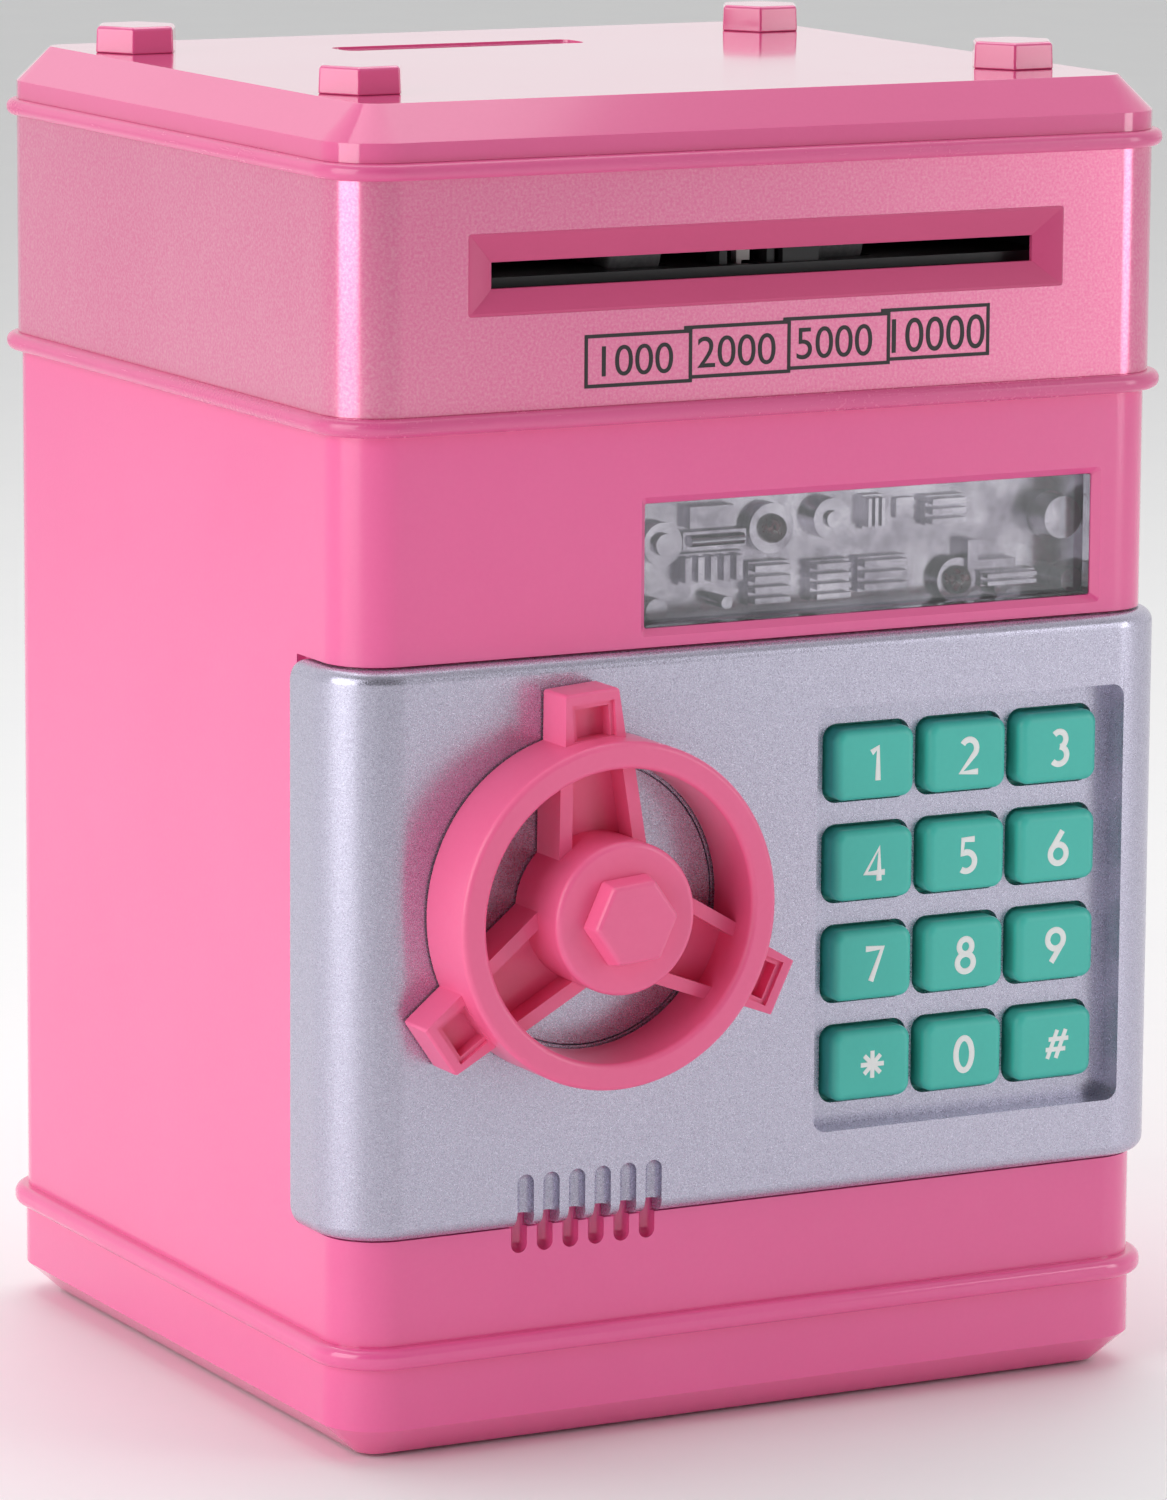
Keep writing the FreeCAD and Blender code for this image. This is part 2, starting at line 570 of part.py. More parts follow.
def battery_contacts():
    """A tab for each cell's button and a stepped spring for its flat end."""
    parts = []
    for i in range(3):
        y = 11.0 + 16.0 * i
        side = 1 if i % 2 == 0 else -1
        x0, x1 = sorted((side * 25.7, side * 29.0))
        parts.append(block(x0, x1, y - 4, y + 4, 6.5, 14.0))
        x0, x1 = sorted((-side * 28.2, -side * 29.0))
        plate = block(x0, x1, y - 5, y + 5, 5.5, 15.0)
        x0, x1 = sorted((-side * 24.7, -side * 28.2))
        parts.append(plate.fuse(rod("x", 3.0, x0, x1, y, 10.2)))
    return Part.makeCompound(parts)


def battery_cover():
    cover = slab_z(-28.9, 28.9, 1.1, 52.9, 0, 1.8, 1.9).fuse(slab_z(-5.9, 5.9, -5.9, 2.9, 0, 1.8, 1.9))
    cover = cover.cut(rod("z", 1.1, -1, 3, 0, -2.5))
    for i in range(5):
        cover = cover.cut(block(-8, 8, 40 + 2 * i, 41 + 2 * i, -0.1, 0.5))
    return cover.removeSplitter()


def pan_screws(places, head_r, head_h, shaft_r, length, axis, seat, drive):
    """Cross-recessed screws; seat is where the head's underside rests, length runs the other way."""
    screws = []
    for u, v in places:
        sign = 1 if length > 0 else -1
        start, end = sorted((seat, seat - sign * head_h))
        head = rod(axis, head_r, start, end, u, v)
        shaft_start, shaft_end = sorted((seat, seat + length))
        screw = head.fuse(rod(axis, shaft_r, shaft_start, shaft_end, u, v))
        tip = seat - sign * head_h
        t0, t1 = sorted((tip, tip + sign * drive))
        if axis == "z":
            cross = [block(u - 0.3, u + 0.3, v - 1.2, v + 1.2, t0, t1), block(u - 1.2, u + 1.2, v - 0.3, v + 0.3, t0, t1)]
        else:
            cross = [block(u - 0.3, u + 0.3, t0, t1, v - 1.2, v + 1.2), block(u - 1.2, u + 1.2, t0, t1, v - 0.3, v + 0.3)]
        screws.append(screw.cut(cross[0]).cut(cross[1]).removeSplitter())
    return Part.makeCompound(screws)


def rubber_feet():
    feet = []
    for x in (-49, 49):
        for y in (-44, 44):
            pad = rod("z", 5.0, -FRAME_SHIFT.z, 1.4, x, y)
            feet.append(pad)
    return Part.makeCompound(feet)


def hinge_pins():
    low = rod("z", HINGE_PIN_R, 26.5, 38.0, HINGE_X, HINGE_Y)
    top = rod("z", HINGE_PIN_R, 106.6, 118.5, HINGE_X, HINGE_Y)
    return Part.makeCompound([low, top])


def strike_plate():
    return block(-57.0, -50.2, -INNER_Y, -54.9, 62.0, 78.0)


def door_skin():
    """The silver door: a plate that wraps both front corners, with a hinge barrel and the keypad tub."""
    skin = case_prism(DOOR_OUT, DOOR_LOW, DOOR_TOP)
    skin = skin.cut(case_prism(-REBATE + DOOR_GAP, DOOR_LOW - 1, DOOR_TOP + 1))
    skin = skin.cut(block(-90, 90, DOOR_BACK, 90, 0, 150))
    skin = skin.cut(block(HINGE_X - 6, 90, HINGE_Y, 90, 0, 150))
    rear = edges_at(skin, lambda p: p.x < 0 and abs(p.y - DOOR_BACK) < 0.01 and (p.z > DOOR_TOP - 0.01 or p.z < DOOR_LOW + 0.01))
    skin = skin.makeFillet(3.0, rear)
    out_x = HALF_W + DOOR_OUT

    def outer(p):
        on_front = abs(p.y - DOOR_FACE) < 0.01
        on_side = abs(abs(p.x) - out_x) < 0.01
        corner = CORNER_R + DOOR_OUT
        dx = abs(p.x) - (out_x - corner)
        dy = -p.y - (-DOOR_FACE - corner)
        on_corner = dx > 0 and dy > 0 and abs(math.hypot(dx, dy) - corner) < 0.01
        at_end = p.z > DOOR_TOP - 3.01 or p.z < DOOR_LOW + 3.01
        level = p.z > DOOR_TOP - 0.01 or p.z < DOOR_LOW + 0.01
        left_rear = p.x < 0 and on_side and p.y > DOOR_BACK - 3.01
        return (level and (on_front or on_side or on_corner)) or (left_rear and (at_end or abs(p.y - DOOR_BACK) < 0.01))

    skin = skin.makeFillet(EDGE_R, edges_at(skin, outer))
    parts = [skin, rod("z", BARREL_R, DOOR_LOW + 0.6, DOOR_TOP - 0.6, HINGE_X, HINGE_Y)]
    parts.append(slab_y(PAD_X0 - 1.6, PAD_X1 + 1.6, PAD_Z0 - 1.6, PAD_Z1 + 1.6, SKIN_BACK, PAD_BACK, 2.5))
    for x in (12.0, 54.0):
        for z in (41.6, 101.8):
            parts.append(rod("y", 1.5, PAD_BACK, BOARD_Y, x, z))
    boss = rod("y", 23.0, SKIN_BACK, SKIN_BACK + 1.0, WHEEL_X, WHEEL_Z)
    parts.append(boss.common(block(-46.4, 0, -70, -50, 0, 150)))
    for x, z in cover_screw_places():
        parts.append(rod("y", 2.5, SKIN_BACK, -49.0, x, z))
    skin = fuse_all(parts)
    skin = skin.cut(slab_y(PAD_X0, PAD_X1, PAD_Z0, PAD_Z1, -70, PAD_FLOOR, 2.0))
    for x in KEY_COLUMNS:
        for z in KEY_ROWS:
            w, h = KEY_W / 2 + KEY_HOLE_GAP, KEY_H / 2 + KEY_HOLE_GAP
            skin = skin.cut(slab_y(x - w, x + w, z - h, z + h, -60, -50, 2.2))
    for x in groove_places():
        skin = skin.cut(groove(x, 1.35, 24.0, 39.8, DOOR_FACE + 0.4))
        skin = skin.cut(block(x - 1.35, x + 1.35, -70, -50, 30, DOOR_LOW + 1.9))
    skin = skin.cut(rod("y", PLATE_R + 0.15, -70, DOOR_FACE + 1.0, WHEEL_X, WHEEL_Z))
    skin = skin.cut(rod("y", 3.06, -70, -50, WHEEL_X, WHEEL_Z))
    skin = skin.cut(rod("z", HINGE_PIN_R + 0.05, 30, 38.5, HINGE_X, HINGE_Y))
    skin = skin.cut(rod("z", HINGE_PIN_R + 0.05, 106.1, 114, HINGE_X, HINGE_Y))
    for x, z in cover_screw_places():
        skin = skin.cut(rod("y", 1.1, -55.5, -48, x, z))
    return skin


def cover_screw_places():
    return ((-43.0, 42.0), (-43.0, 102.5), (0.0, 42.0), (0.0, 102.5))


def door_cover():
    """The tray that closes the back of the door."""
    x0, x1, z0, z1 = -48.5, 59.8, 38.0, 107.0
    cover = slab_y(x0, x1, z0, z1, SKIN_BACK, COVER_BACK, 2.0)
    cover = cover.cut(slab_y(x0 + 1.6, x1 - 1.6, z0 + 1.6, z1 - 1.6, SKIN_BACK - 1, COVER_BACK - 1.8, 1.5))
    cover = cover.cut(block(57.2, 60, SKIN_BACK - 1, -57.65, 37, 108))
    for x, z in cover_screw_places():
        cover = cover.cut(rod("y", 2.6, SKIN_BACK - 1, -49.0, x, z))
    parts = [cover]
    for x, z in cover_screw_places():
        parts.append(rod("y", 2.5, -49.0, COVER_BACK - 1.8, x, z))
    parts.append(rod("y", 5.0, -48.6, COVER_BACK - 1.8, WHEEL_X, WHEEL_Z))
    cover = fuse_all(parts)
    cover = cover.cut(slab_y(PAD_X0 - 1.6, PAD_X1 + 1.6, PAD_Z0 - 1.6, PAD_Z1 + 1.6, SKIN_BACK - 1, PAD_BACK, 2.5))
    cover = cover.cut(rod("y", 2.46, -49, -46.2, WHEEL_X, WHEEL_Z))
    cover = cover.cut(block(-50, -45, -54.8, -50.7, 66.6, 72.9))
    for x, z in cover_screw_places():
        cover = cover.cut(rod("y", 1.1, -50, -44, x, z)).cut(rod("y", 2.4, -46.4, -44, x, z))
    return cover


def wheel_plate():
    """The round plate let into the door behind the handwheel."""
    plate = rod("y", PLATE_R, DOOR_FACE, DOOR_FACE + 1.0, WHEEL_X, WHEEL_Z)
    return plate.cut(rod("y", 3.06, -70, -50, WHEEL_X, WHEEL_Z))


def keypad_board():
    return block(8.6, 57.4, BOARD_Y, BOARD_Y + 1.6, 39.8, 104.0)


def dome_sheet():
    """The rubber sheet of contact domes under the keys."""
    parts = [block(9.5, 56.5, BOARD_Y - 0.4, BOARD_Y, 43.8, 99.6)]
    for x in KEY_COLUMNS:
        for z in KEY_ROWS:
            parts.append(rod("y", 2.5, BOARD_Y - 0.6, BOARD_Y - 0.4, x, z))
    return fuse_all(parts)


def key_cap(x, z):
    """One key: a crowned cap, a flange behind the keypad floor and a plunger."""
    front = PAD_FLOOR - KEY_RISE
    back = PAD_BACK + KEY_GAP
    cap = slab_y(x - KEY_W / 2, x + KEY_W / 2, z - KEY_H / 2, z + KEY_H / 2, front, back + 0.5, 1.9)
    cap = cap.makeFillet(1.3, edges_at(cap, lambda p: p.y < front + 0.01))
    flange = slab_y(x - 7.4, x + 7.4, z - 6.2, z + 6.2, back, back + 0.9, 1.5)
    return fuse_all([cap, flange, rod("y", 2.0, back + 0.9, back + 1.0, x, z)])


def polar(r, degrees):
    a = math.radians(degrees)
    return WHEEL_X + r * math.cos(a), WHEEL_Z + r * math.sin(a)


def turned(shape, degrees):
    """Turn a piece drawn along +X about the handwheel's axis, from 0 degrees to its place."""
    copy = shape.copy()
    copy.rotate(Vector(WHEEL_X, 0, WHEEL_Z), Vector(0, 1, 0), -degrees)
    return copy


def wheel_bar(r0, r1, near, far, front):
    """A bar drawn along +X whose sides run from near = (low, high) at r0 to far at r1."""
    x, z = WHEEL_X, WHEEL_Z
    corners = ((r0, near[0]), (r1, far[0]), (r1, far[1]), (r0, near[1]))
    points = [Vector(x + r, WHEEL_BACK, z + w) for r, w in corners]
    return Part.Face(Part.makePolygon(points + [points[0]])).extrude(Vector(0, front - WHEEL_BACK, 0))


def wheel_spoke():
    """A spoke drawn along +X: a web between two ribs that spread towards the hub."""
    parts = [wheel_bar(HUB_R - 1, RIM_INNER_R + 1, (-5.2, 5.2), (-4.2, 4.2), FRONT - 5.2)]
    for side in (-1, 1):
        near = sorted((side * 5.0, side * 7.0))
        far = sorted((side * 3.7, side * 5.6))
        parts.append(wheel_bar(HUB_R - 4, RIM_INNER_R + 1.5, near, far, FRONT - 9.2))
    return fuse_all(parts)


def wheel_lug():
    """A grip lug drawn along +X, with a stepped square pocket in its face."""
    x, z = WHEEL_X, WHEEL_Z
    lug = wheel_bar(RIM_R - 1.2, 31.3, (-4.8, 4.8), (-4.1, 4.1), FRONT - 9.2)
    lug = lug.makeFillet(0.5, edges_at(lug, lambda p: p.x > x + 31.29))
    step = block(x + RIM_R, x + 29.7, FRONT - 10, FRONT - 8.6, z - 3.3, z + 3.3)
    pocket = block(x + RIM_R, x + 29.0, FRONT - 10, FRONT - 6.4, z - 2.6, z + 2.6)
    return lug.cut(step).cut(pocket)


def handwheel():
    rim = rod("y", RIM_R, RIM_FRONT, WHEEL_BACK, WHEEL_X, WHEEL_Z)
    rim = rim.cut(rod("y", RIM_INNER_R, -80, -50, WHEEL_X, WHEEL_Z))
    rim = rim.makeFillet(0.9, edges_at(rim, lambda p: abs(p.y - RIM_FRONT) < 0.01))
    hub = rod("y", HUB_R, HUB_FRONT, WHEEL_BACK, WHEEL_X, WHEEL_Z)
    hub = hub.makeFillet(0.9, edges_at(hub, lambda p: abs(p.y - HUB_FRONT) < 0.01))
    spokes = []
    lugs = []
    for i in range(3):
        spokes.append(turned(wheel_spoke(), WHEEL_TILT + 120 * i))
        lugs.append(turned(wheel_lug(), WHEEL_TILT + 120 * i))
    keep_out = rod("y", RIM_R + 10, -90, -50, WHEEL_X, WHEEL_Z).cut(rod("y", RIM_R - 0.5, -91, -49, WHEEL_X, WHEEL_Z))
    spokes = [s.cut(keep_out) for s in spokes]
    lugs = [lug.cut(rod("y", RIM_INNER_R + 1, -91, -49, WHEEL_X, WHEEL_Z)) for lug in lugs]
    wheel = fuse_all([rim, hub] + spokes + lugs)
    return wheel.cut(rod("y", 3.0, -71.0, -50, WHEEL_X, WHEEL_Z))


def wheel_cap():
    """The hexagon boss on the hub."""
    wires = []
    for r, y in ((7.0, HUB_FRONT), (6.5, CAP_FRONT + 0.5), (6.0, CAP_FRONT)):
        points = []
        for i in range(7):
            a = math.radians(5 + 60 * i)
            points.append(Vector(WHEEL_X + r * math.cos(a), y, WHEEL_Z + r * math.sin(a)))
        wires.append(Part.makePolygon(points))
    return Part.makeLoft(wires, True, True)


def latch_shaft():
    """The handwheel's shaft with the pinion that drives the bolt."""
    pinion = gear("y", 8, 1.0, 0.5, -54.3, -51.2, WHEEL_X, WHEEL_Z, -90)
    shaft = rod("y", 3.0, -71.0, -54.3, WHEEL_X, WHEEL_Z)
    tail = rod("y", 2.4, -51.2, -46.6, WHEEL_X, WHEEL_Z)
    return fuse_all([pinion, shaft, tail])


def latch_bolt():
    """The bolt with its rack and the two notches that the plunger enters."""
    bar = block(-49.3, -8.0, -54.5, -51.0, 66.9, 72.3)
    pitch_z = WHEEL_Z - 4.0
    thick = math.pi / 2 - 0.5
    teeth = []
    for i in range(-1, 4):
        x = WHEEL_X + math.pi * (i + 0.5)
        points = []
        for dx, z in ((-thick * 0.62, 72.0), (-thick * 0.26, pitch_z + 0.9), (thick * 0.26, pitch_z + 0.9), (thick * 0.62, 72.0)):
            points.append(Vector(x + dx, -54.5, z))
        teeth.append(Part.Face(Part.makePolygon(points + [points[0]])).extrude(Vector(0, 3.5, 0)))
    bolt = fuse_all([bar] + teeth)
    for x in (-30.0, -30.0 + 2 * math.pi):
        bolt = bolt.cut(block(x - 1.9, x + 1.9, -55, -50, 66, 70.0))
    return bolt


def lock_frame():
    """Guides for the bolt, fixed to the back of the door."""
    parts = [block(-45.5, -8.0, SKIN_BACK + 1.0, -54.9, 60.0, 73.0)]
    for x0, x1 in ((-45.5, -41.5), (-12.0, -8.0)):
        parts.append(block(x0, x1, -54.9, -50.6, 63.0, 66.7))
        parts.append(block(x0, x1, -50.6, -49.4, 63.0, 73.0))
        parts.append(block(x0, x1, -54.9, -50.6, 72.5 if x0 < -30 else 74.95, 76.0))
    parts.append(block(-45.5, -41.5, -50.6, -49.4, 72.0, 76.0))
    parts.append(block(-12.0, -8.0, -54.9, -49.4, 74.95, 76.0))
    parts.append(block(-12.0, -8.0, -50.6, -49.4, 63.0, 76.0))
    parts.append(block(-12.0, -8.0, SKIN_BACK + 1.0, -54.9, 60.0, 76.0))
    parts.append(block(-45.5, -41.5, SKIN_BACK + 1.0, -54.9, 60.0, 76.0))
    frame = fuse_all(parts)
    return frame.cut(rod("y", 3.3, -60, -45, WHEEL_X, WHEEL_Z))


def solenoid_coil():
    coil = block(-36.0, -24.0, SKIN_BACK + 1.0, -48.4, 46.0, 60.0)
    return coil.cut(rod("z", 1.55, 50.0, 61.0, -30.0, -52.75))


def solenoid_plunger():
    return rod("z", 1.5, 53.0, 66.4, -30.0, -52.75)


def build():
    save("body_shell", body_shell())
    save("base_tray", base_tray())
    save("waist_band", round_band(2.3, WAIST_LOW, WAIST_TOP))
    save("head_shell", head_shell())
    save("crown_band", crown_band())
    save("lid", lid())
    save("hex_studs", hex_studs())
    save("slot_bezel", slot_bezel())
    save("amount_print", amount_print())
    save("window_lens", window_lens())
    save("window_panel", window_panel())
    save("led_pair", led_pair())
    save("panel_board", panel_board())
    save("coin_chute", coin_chute())
    save("feeder_chassis", feeder_chassis())
    save("feeder_motor", feeder_motor())
    save("motor_pinion", motor_pinion())
    save("drive_shaft", drive_shaft())
    save("feed_rollers", roller_pair(DRIVE_Z, 1.5))
    save("pinch_shaft", rod("x", 1.2, -51.0, 51.0, ROLLER_Y, PINCH_Z))
    save("pinch_rollers", roller_pair(PINCH_Z, 1.2))
    save("sensor_lever", sensor_lever())
    save("bill_sensor", bill_sensor())
    save("main_board", main_board())
    save("board_parts", board_parts())
    board_places = [(x, z) for x in (-42, 42) for z in (118.5, 137.5)]
    save("board_screws", pan_screws(board_places, 2.0, 1.2, 1.1, 4.6, "y", 52.4, 0.6))
    save("speaker", speaker())
    save("battery_cells", battery_cells())
    save("battery_contacts", battery_contacts())
    save("battery_cover", battery_cover())
    save("battery_screw", pan_screws([(0, -2.5)], 1.1, 0.9, 1.1, 7.0, "z", 0.9, 0.5))
    base_places = [(x, y) for x in (-54, 54) for y in (-36, 36)]
    save("base_screws", pan_screws(base_places, 2.5, 1.8, 1.2, 18.0, "z", 8.0, 1.0))
    save("rubber_feet", rubber_feet())
    save("hinge_pins", hinge_pins())
    save("strike_plate", strike_plate())
    save("door_skin", door_skin())
    save("door_cover", door_cover())
    save("cover_screws", pan_screws(cover_screw_places(), 2.2, 1.0, 1.1, -8.0, "y", -46.4, 0.6))
    save("wheel_plate", wheel_plate())
    save("keypad_board", keypad_board())
    save("dome_sheet", dome_sheet())
    places = [(x, z) for z in KEY_ROWS for x in KEY_COLUMNS]
    for name, (x, z) in zip(KEY_NAMES, places):
        save("key_" + name, key_cap(x, z))
    save("lock_frame", lock_frame())
    save("solenoid_coil", solenoid_coil())
    save("solenoid_plunger", solenoid_plunger())
    save("handwheel", handwheel())
    save("wheel_cap", wheel_cap())
    save("latch_shaft", latch_shaft())
    save("latch_bolt", latch_bolt())


build()
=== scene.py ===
import json
import logging
import math
from abc import ABC, abstractmethod
from collections.abc import Iterable, Mapping, Sequence
from dataclasses import dataclass, field
from enum import Enum
from typing import Any, Union

import bmesh
import bpy
from mathutils import Matrix, Vector

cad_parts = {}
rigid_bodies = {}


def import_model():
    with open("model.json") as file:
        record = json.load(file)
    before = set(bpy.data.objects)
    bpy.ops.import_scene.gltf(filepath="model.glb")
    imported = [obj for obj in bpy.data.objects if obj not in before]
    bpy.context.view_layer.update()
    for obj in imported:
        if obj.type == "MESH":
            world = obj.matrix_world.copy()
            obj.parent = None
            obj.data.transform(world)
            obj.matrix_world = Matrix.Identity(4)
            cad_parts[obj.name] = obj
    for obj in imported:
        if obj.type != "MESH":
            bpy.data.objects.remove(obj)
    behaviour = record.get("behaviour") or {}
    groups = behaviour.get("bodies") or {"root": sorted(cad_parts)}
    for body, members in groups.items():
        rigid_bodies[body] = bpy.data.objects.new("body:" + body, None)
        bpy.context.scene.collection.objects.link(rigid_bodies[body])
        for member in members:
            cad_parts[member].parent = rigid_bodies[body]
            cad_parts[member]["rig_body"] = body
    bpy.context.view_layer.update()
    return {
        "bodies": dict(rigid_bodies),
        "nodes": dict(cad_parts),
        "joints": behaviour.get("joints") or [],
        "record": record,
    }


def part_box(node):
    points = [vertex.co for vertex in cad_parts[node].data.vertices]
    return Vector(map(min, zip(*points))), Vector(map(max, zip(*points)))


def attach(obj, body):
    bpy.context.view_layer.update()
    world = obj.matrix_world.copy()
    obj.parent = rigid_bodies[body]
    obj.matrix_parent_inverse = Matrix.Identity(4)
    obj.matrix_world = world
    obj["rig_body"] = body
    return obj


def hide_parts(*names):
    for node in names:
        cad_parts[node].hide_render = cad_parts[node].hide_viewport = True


LOG = logging.getLogger("coin_bank")
MM = 0.001
Colour = tuple[float, float, float]
Value = Union["Wire", float, Sequence[float]]


class Slot(Enum):
    """The record's material slots."""

    CASE = "case_pink"
    HEAD = "head_pink"
    LID = "lid_pink"
    TRIM = "trim_pink"
    WHEEL = "wheel_pink"
    DOOR = "door_silver"
    KEY = "key_teal"
    PRINT = "print_black"
    LENS = "lens_clear"
    PANEL = "panel_chrome"
    LED = "led_red"
    BOARD = "board_green"
    BLACK = "part_black"
    WHITE = "inner_white"
    STEEL = "steel"
    ROLLER = "roller_grey"
    RUBBER = "rubber_black"
    GEAR = "gear_white"
    CELL = "cell_green"
    SHEET = "sheet_grey"


# ---------------------------------------------------------------- shader maths


class Wire:
    """An output of a shader node, with arithmetic that grows the tree."""

    def __init__(self, tree: "FinishTree", socket: bpy.types.NodeSocket) -> None:
        """Keep the tree and the socket."""
        self.tree = tree
        self.socket = socket

    def _join(self, operation: str, first: Value, second: Value) -> "Wire":
        """One sum of two values, in the arithmetic that suits this socket.

        Args:
            operation: Name of the operation, such as ADD.
            first: Left-hand value.
            second: Right-hand value.

        Returns:
            The result's wire.
        """
        if self.socket.type == "RGBA":
            settings = {"data_type": "RGBA", "blend_type": operation}
            return self.tree.node("ShaderNodeMix", settings, {0: 1.0, 6: first, 7: second}, 2)
        kind = "ShaderNodeMath" if self.socket.type == "VALUE" else "ShaderNodeVectorMath"
        return self.tree.node(kind, {"operation": operation}, {0: first, 1: second})

    def __add__(self, other: Value) -> "Wire":
        """This plus other."""
        return self._join("ADD", self, other)

    def __radd__(self, other: Value) -> "Wire":
        """Other plus this."""
        return self._join("ADD", other, self)

    def __sub__(self, other: Value) -> "Wire":
        """This less other."""
        return self._join("SUBTRACT", self, other)

    def __rsub__(self, other: Value) -> "Wire":
        """Other less this."""
        return self._join("SUBTRACT", other, self)

    def __mul__(self, other: Value) -> "Wire":
        """This times other."""
        return self._join("MULTIPLY", self, other)

    def __rmul__(self, other: Value) -> "Wire":
        """Other times this."""
        return self._join("MULTIPLY", other, self)

    def __truediv__(self, other: Value) -> "Wire":
        """This over other."""
        return self._join("DIVIDE", self, other)

    def __rtruediv__(self, other: Value) -> "Wire":
        """Other over this."""
        return self._join("DIVIDE", other, self)

    def __pow__(self, other: float) -> "Wire":
        """This to a power."""
        return self._join("POWER", self, other)

    def ramp(self, low: float, high: float) -> "Wire":
        """This value stretched so that low becomes 0 and high becomes 1, and clamped."""
        limits = {"From Min": low, "From Max": high}
        return self.tree.node("ShaderNodeMapRange", {"clamp": True}, {"Value": self, **limits})


class FinishTree:
    """The node tree of one finish."""

    def __init__(self, name: str) -> None:
        """Start an empty material of that name."""
        self.material = bpy.data.materials.new(name)
        self.material.use_nodes = True
        self.nodes = self.material.node_tree.nodes
        self.links = self.material.node_tree.links
        self.nodes.clear()

    def node(self, kind: str, settings: Mapping[str, Any], sockets: Mapping[Union[int, str], Value],
             out: Union[int, str] = 0) -> Wire:
        """Add any node.

        Args:
            kind: Blender's name for the node type.
            settings: Properties, set before the sockets.
            sockets: Values or wires by input name or index.
            out: Which output to return.

        Returns:
            The chosen output.
        """
        made = self.nodes.new(kind)
        for key, value in settings.items():
            setattr(made, key, value)
        for key, value in sockets.items():
            socket = made.inputs[key]
            if isinstance(value, Wire):
                self.links.new(value.socket, socket)
            elif socket.type == "RGBA" and not isinstance(value, (int, float)):
                socket.default_value = (*value[:3], 1.0)
            else:
                socket.default_value = value
        return Wire(self, made.outputs[out])

    def place(self, scale: Sequence[float] = (1.0, 1.0, 1.0),
              turn: Sequence[float] = (0.0, 0.0, 0.0)) -> Wire:
        """Object coordinates, stretched and turned."""
        spot = self.node("ShaderNodeTexCoord", {}, {}, "Object")
        return self.node("ShaderNodeMapping", {}, {"Vector": spot, "Scale": scale, "Rotation": turn})

    def noise(self, where: Wire, scale: float, detail: float = 2.0, rough: float = 0.5) -> Wire:
        """A noise value around one half."""
        sockets = {"Vector": where, "Scale": scale, "Detail": detail, "Roughness": rough}
        return self.node("ShaderNodeTexNoise", {}, sockets)

    def blend(self, first: Value, second: Value, share: Value) -> Wire:
        """A colour between two, by share."""
        return self.node("ShaderNodeMix", {"data_type": "RGBA"}, {0: share, 6: first, 7: second}, 2)

    def bump(self, height: Wire, depth: float, strength: float = 1.0) -> Wire:
        """A normal that leans with height; depth is in metres."""
        return self.node("ShaderNodeBump", {}, {"Height": height, "Distance": depth, "Strength": strength})

    def surface(self, sockets: Mapping[str, Value]) -> Wire:
        """The main shader with these inputs."""
        return self.node("ShaderNodeBsdfPrincipled", {}, sockets)

    def close(self, shader: Wire) -> bpy.types.Material:
        """Link the shader to the output and return the material."""
        end = self.nodes.new("ShaderNodeOutputMaterial")
        self.links.new(shader.socket, end.inputs["Surface"])
        return self.material


# ---------------------------------------------------------------- finishes


@dataclass(frozen=True)
class Finish(ABC):
    """A surface finish; each one paints its own node tree."""

    name: str

    @abstractmethod
    def paint(self, tree: FinishTree) -> Wire:
        """Return the finish's shader."""

    def material(self) -> bpy.types.Material:
        """The material, made once and shared."""
        found = bpy.data.materials.get(self.name)
        if found:
            return found
        tree = FinishTree(self.name)
        return tree.close(self.paint(tree))


@dataclass(frozen=True)
class MouldedPlastic(Finish):
    """Injection-moulded plastic: faint flow clouds, fine skin texture and light handling scuffs."""

    colour: Colour
    deep: Colour
    roughness: float = 0.3
    grain: float = 1500.0
    depth: float = 0.000006
    coat: float = 0.0
    metallic: float = 0.0
    scuffs: float = 0.06

    def paint(self, tree: FinishTree) -> Wire:
        """Clouds tint the colour; grain and scuffs vary the gloss."""
        cloud = tree.noise(tree.place(), 24.0, 4.0, 0.55)
        grain = tree.noise(tree.place(), self.grain, 3.0, 0.6)
        scuff = tree.noise(tree.place((1.0, 1.0, 14.0), (0.35, 0.2, 0.6)), 160.0, 5.0, 0.7).ramp(0.6, 0.78)
        colour = tree.blend(self.colour, self.deep, (cloud * 0.7 + grain * 0.3).ramp(0.35, 0.75) * 0.55)
        roughness = self.roughness + (cloud - 0.5) * 0.08 + (grain - 0.5) * 0.05 + scuff * self.scuffs
        height = grain + scuff * -0.6
        return tree.surface({
            "Base Color": colour, "Roughness": roughness, "Metallic": self.metallic, "IOR": 1.5,
            "Coat Weight": self.coat, "Coat Roughness": 0.08,
            "Normal": tree.bump(height, self.depth),
        })


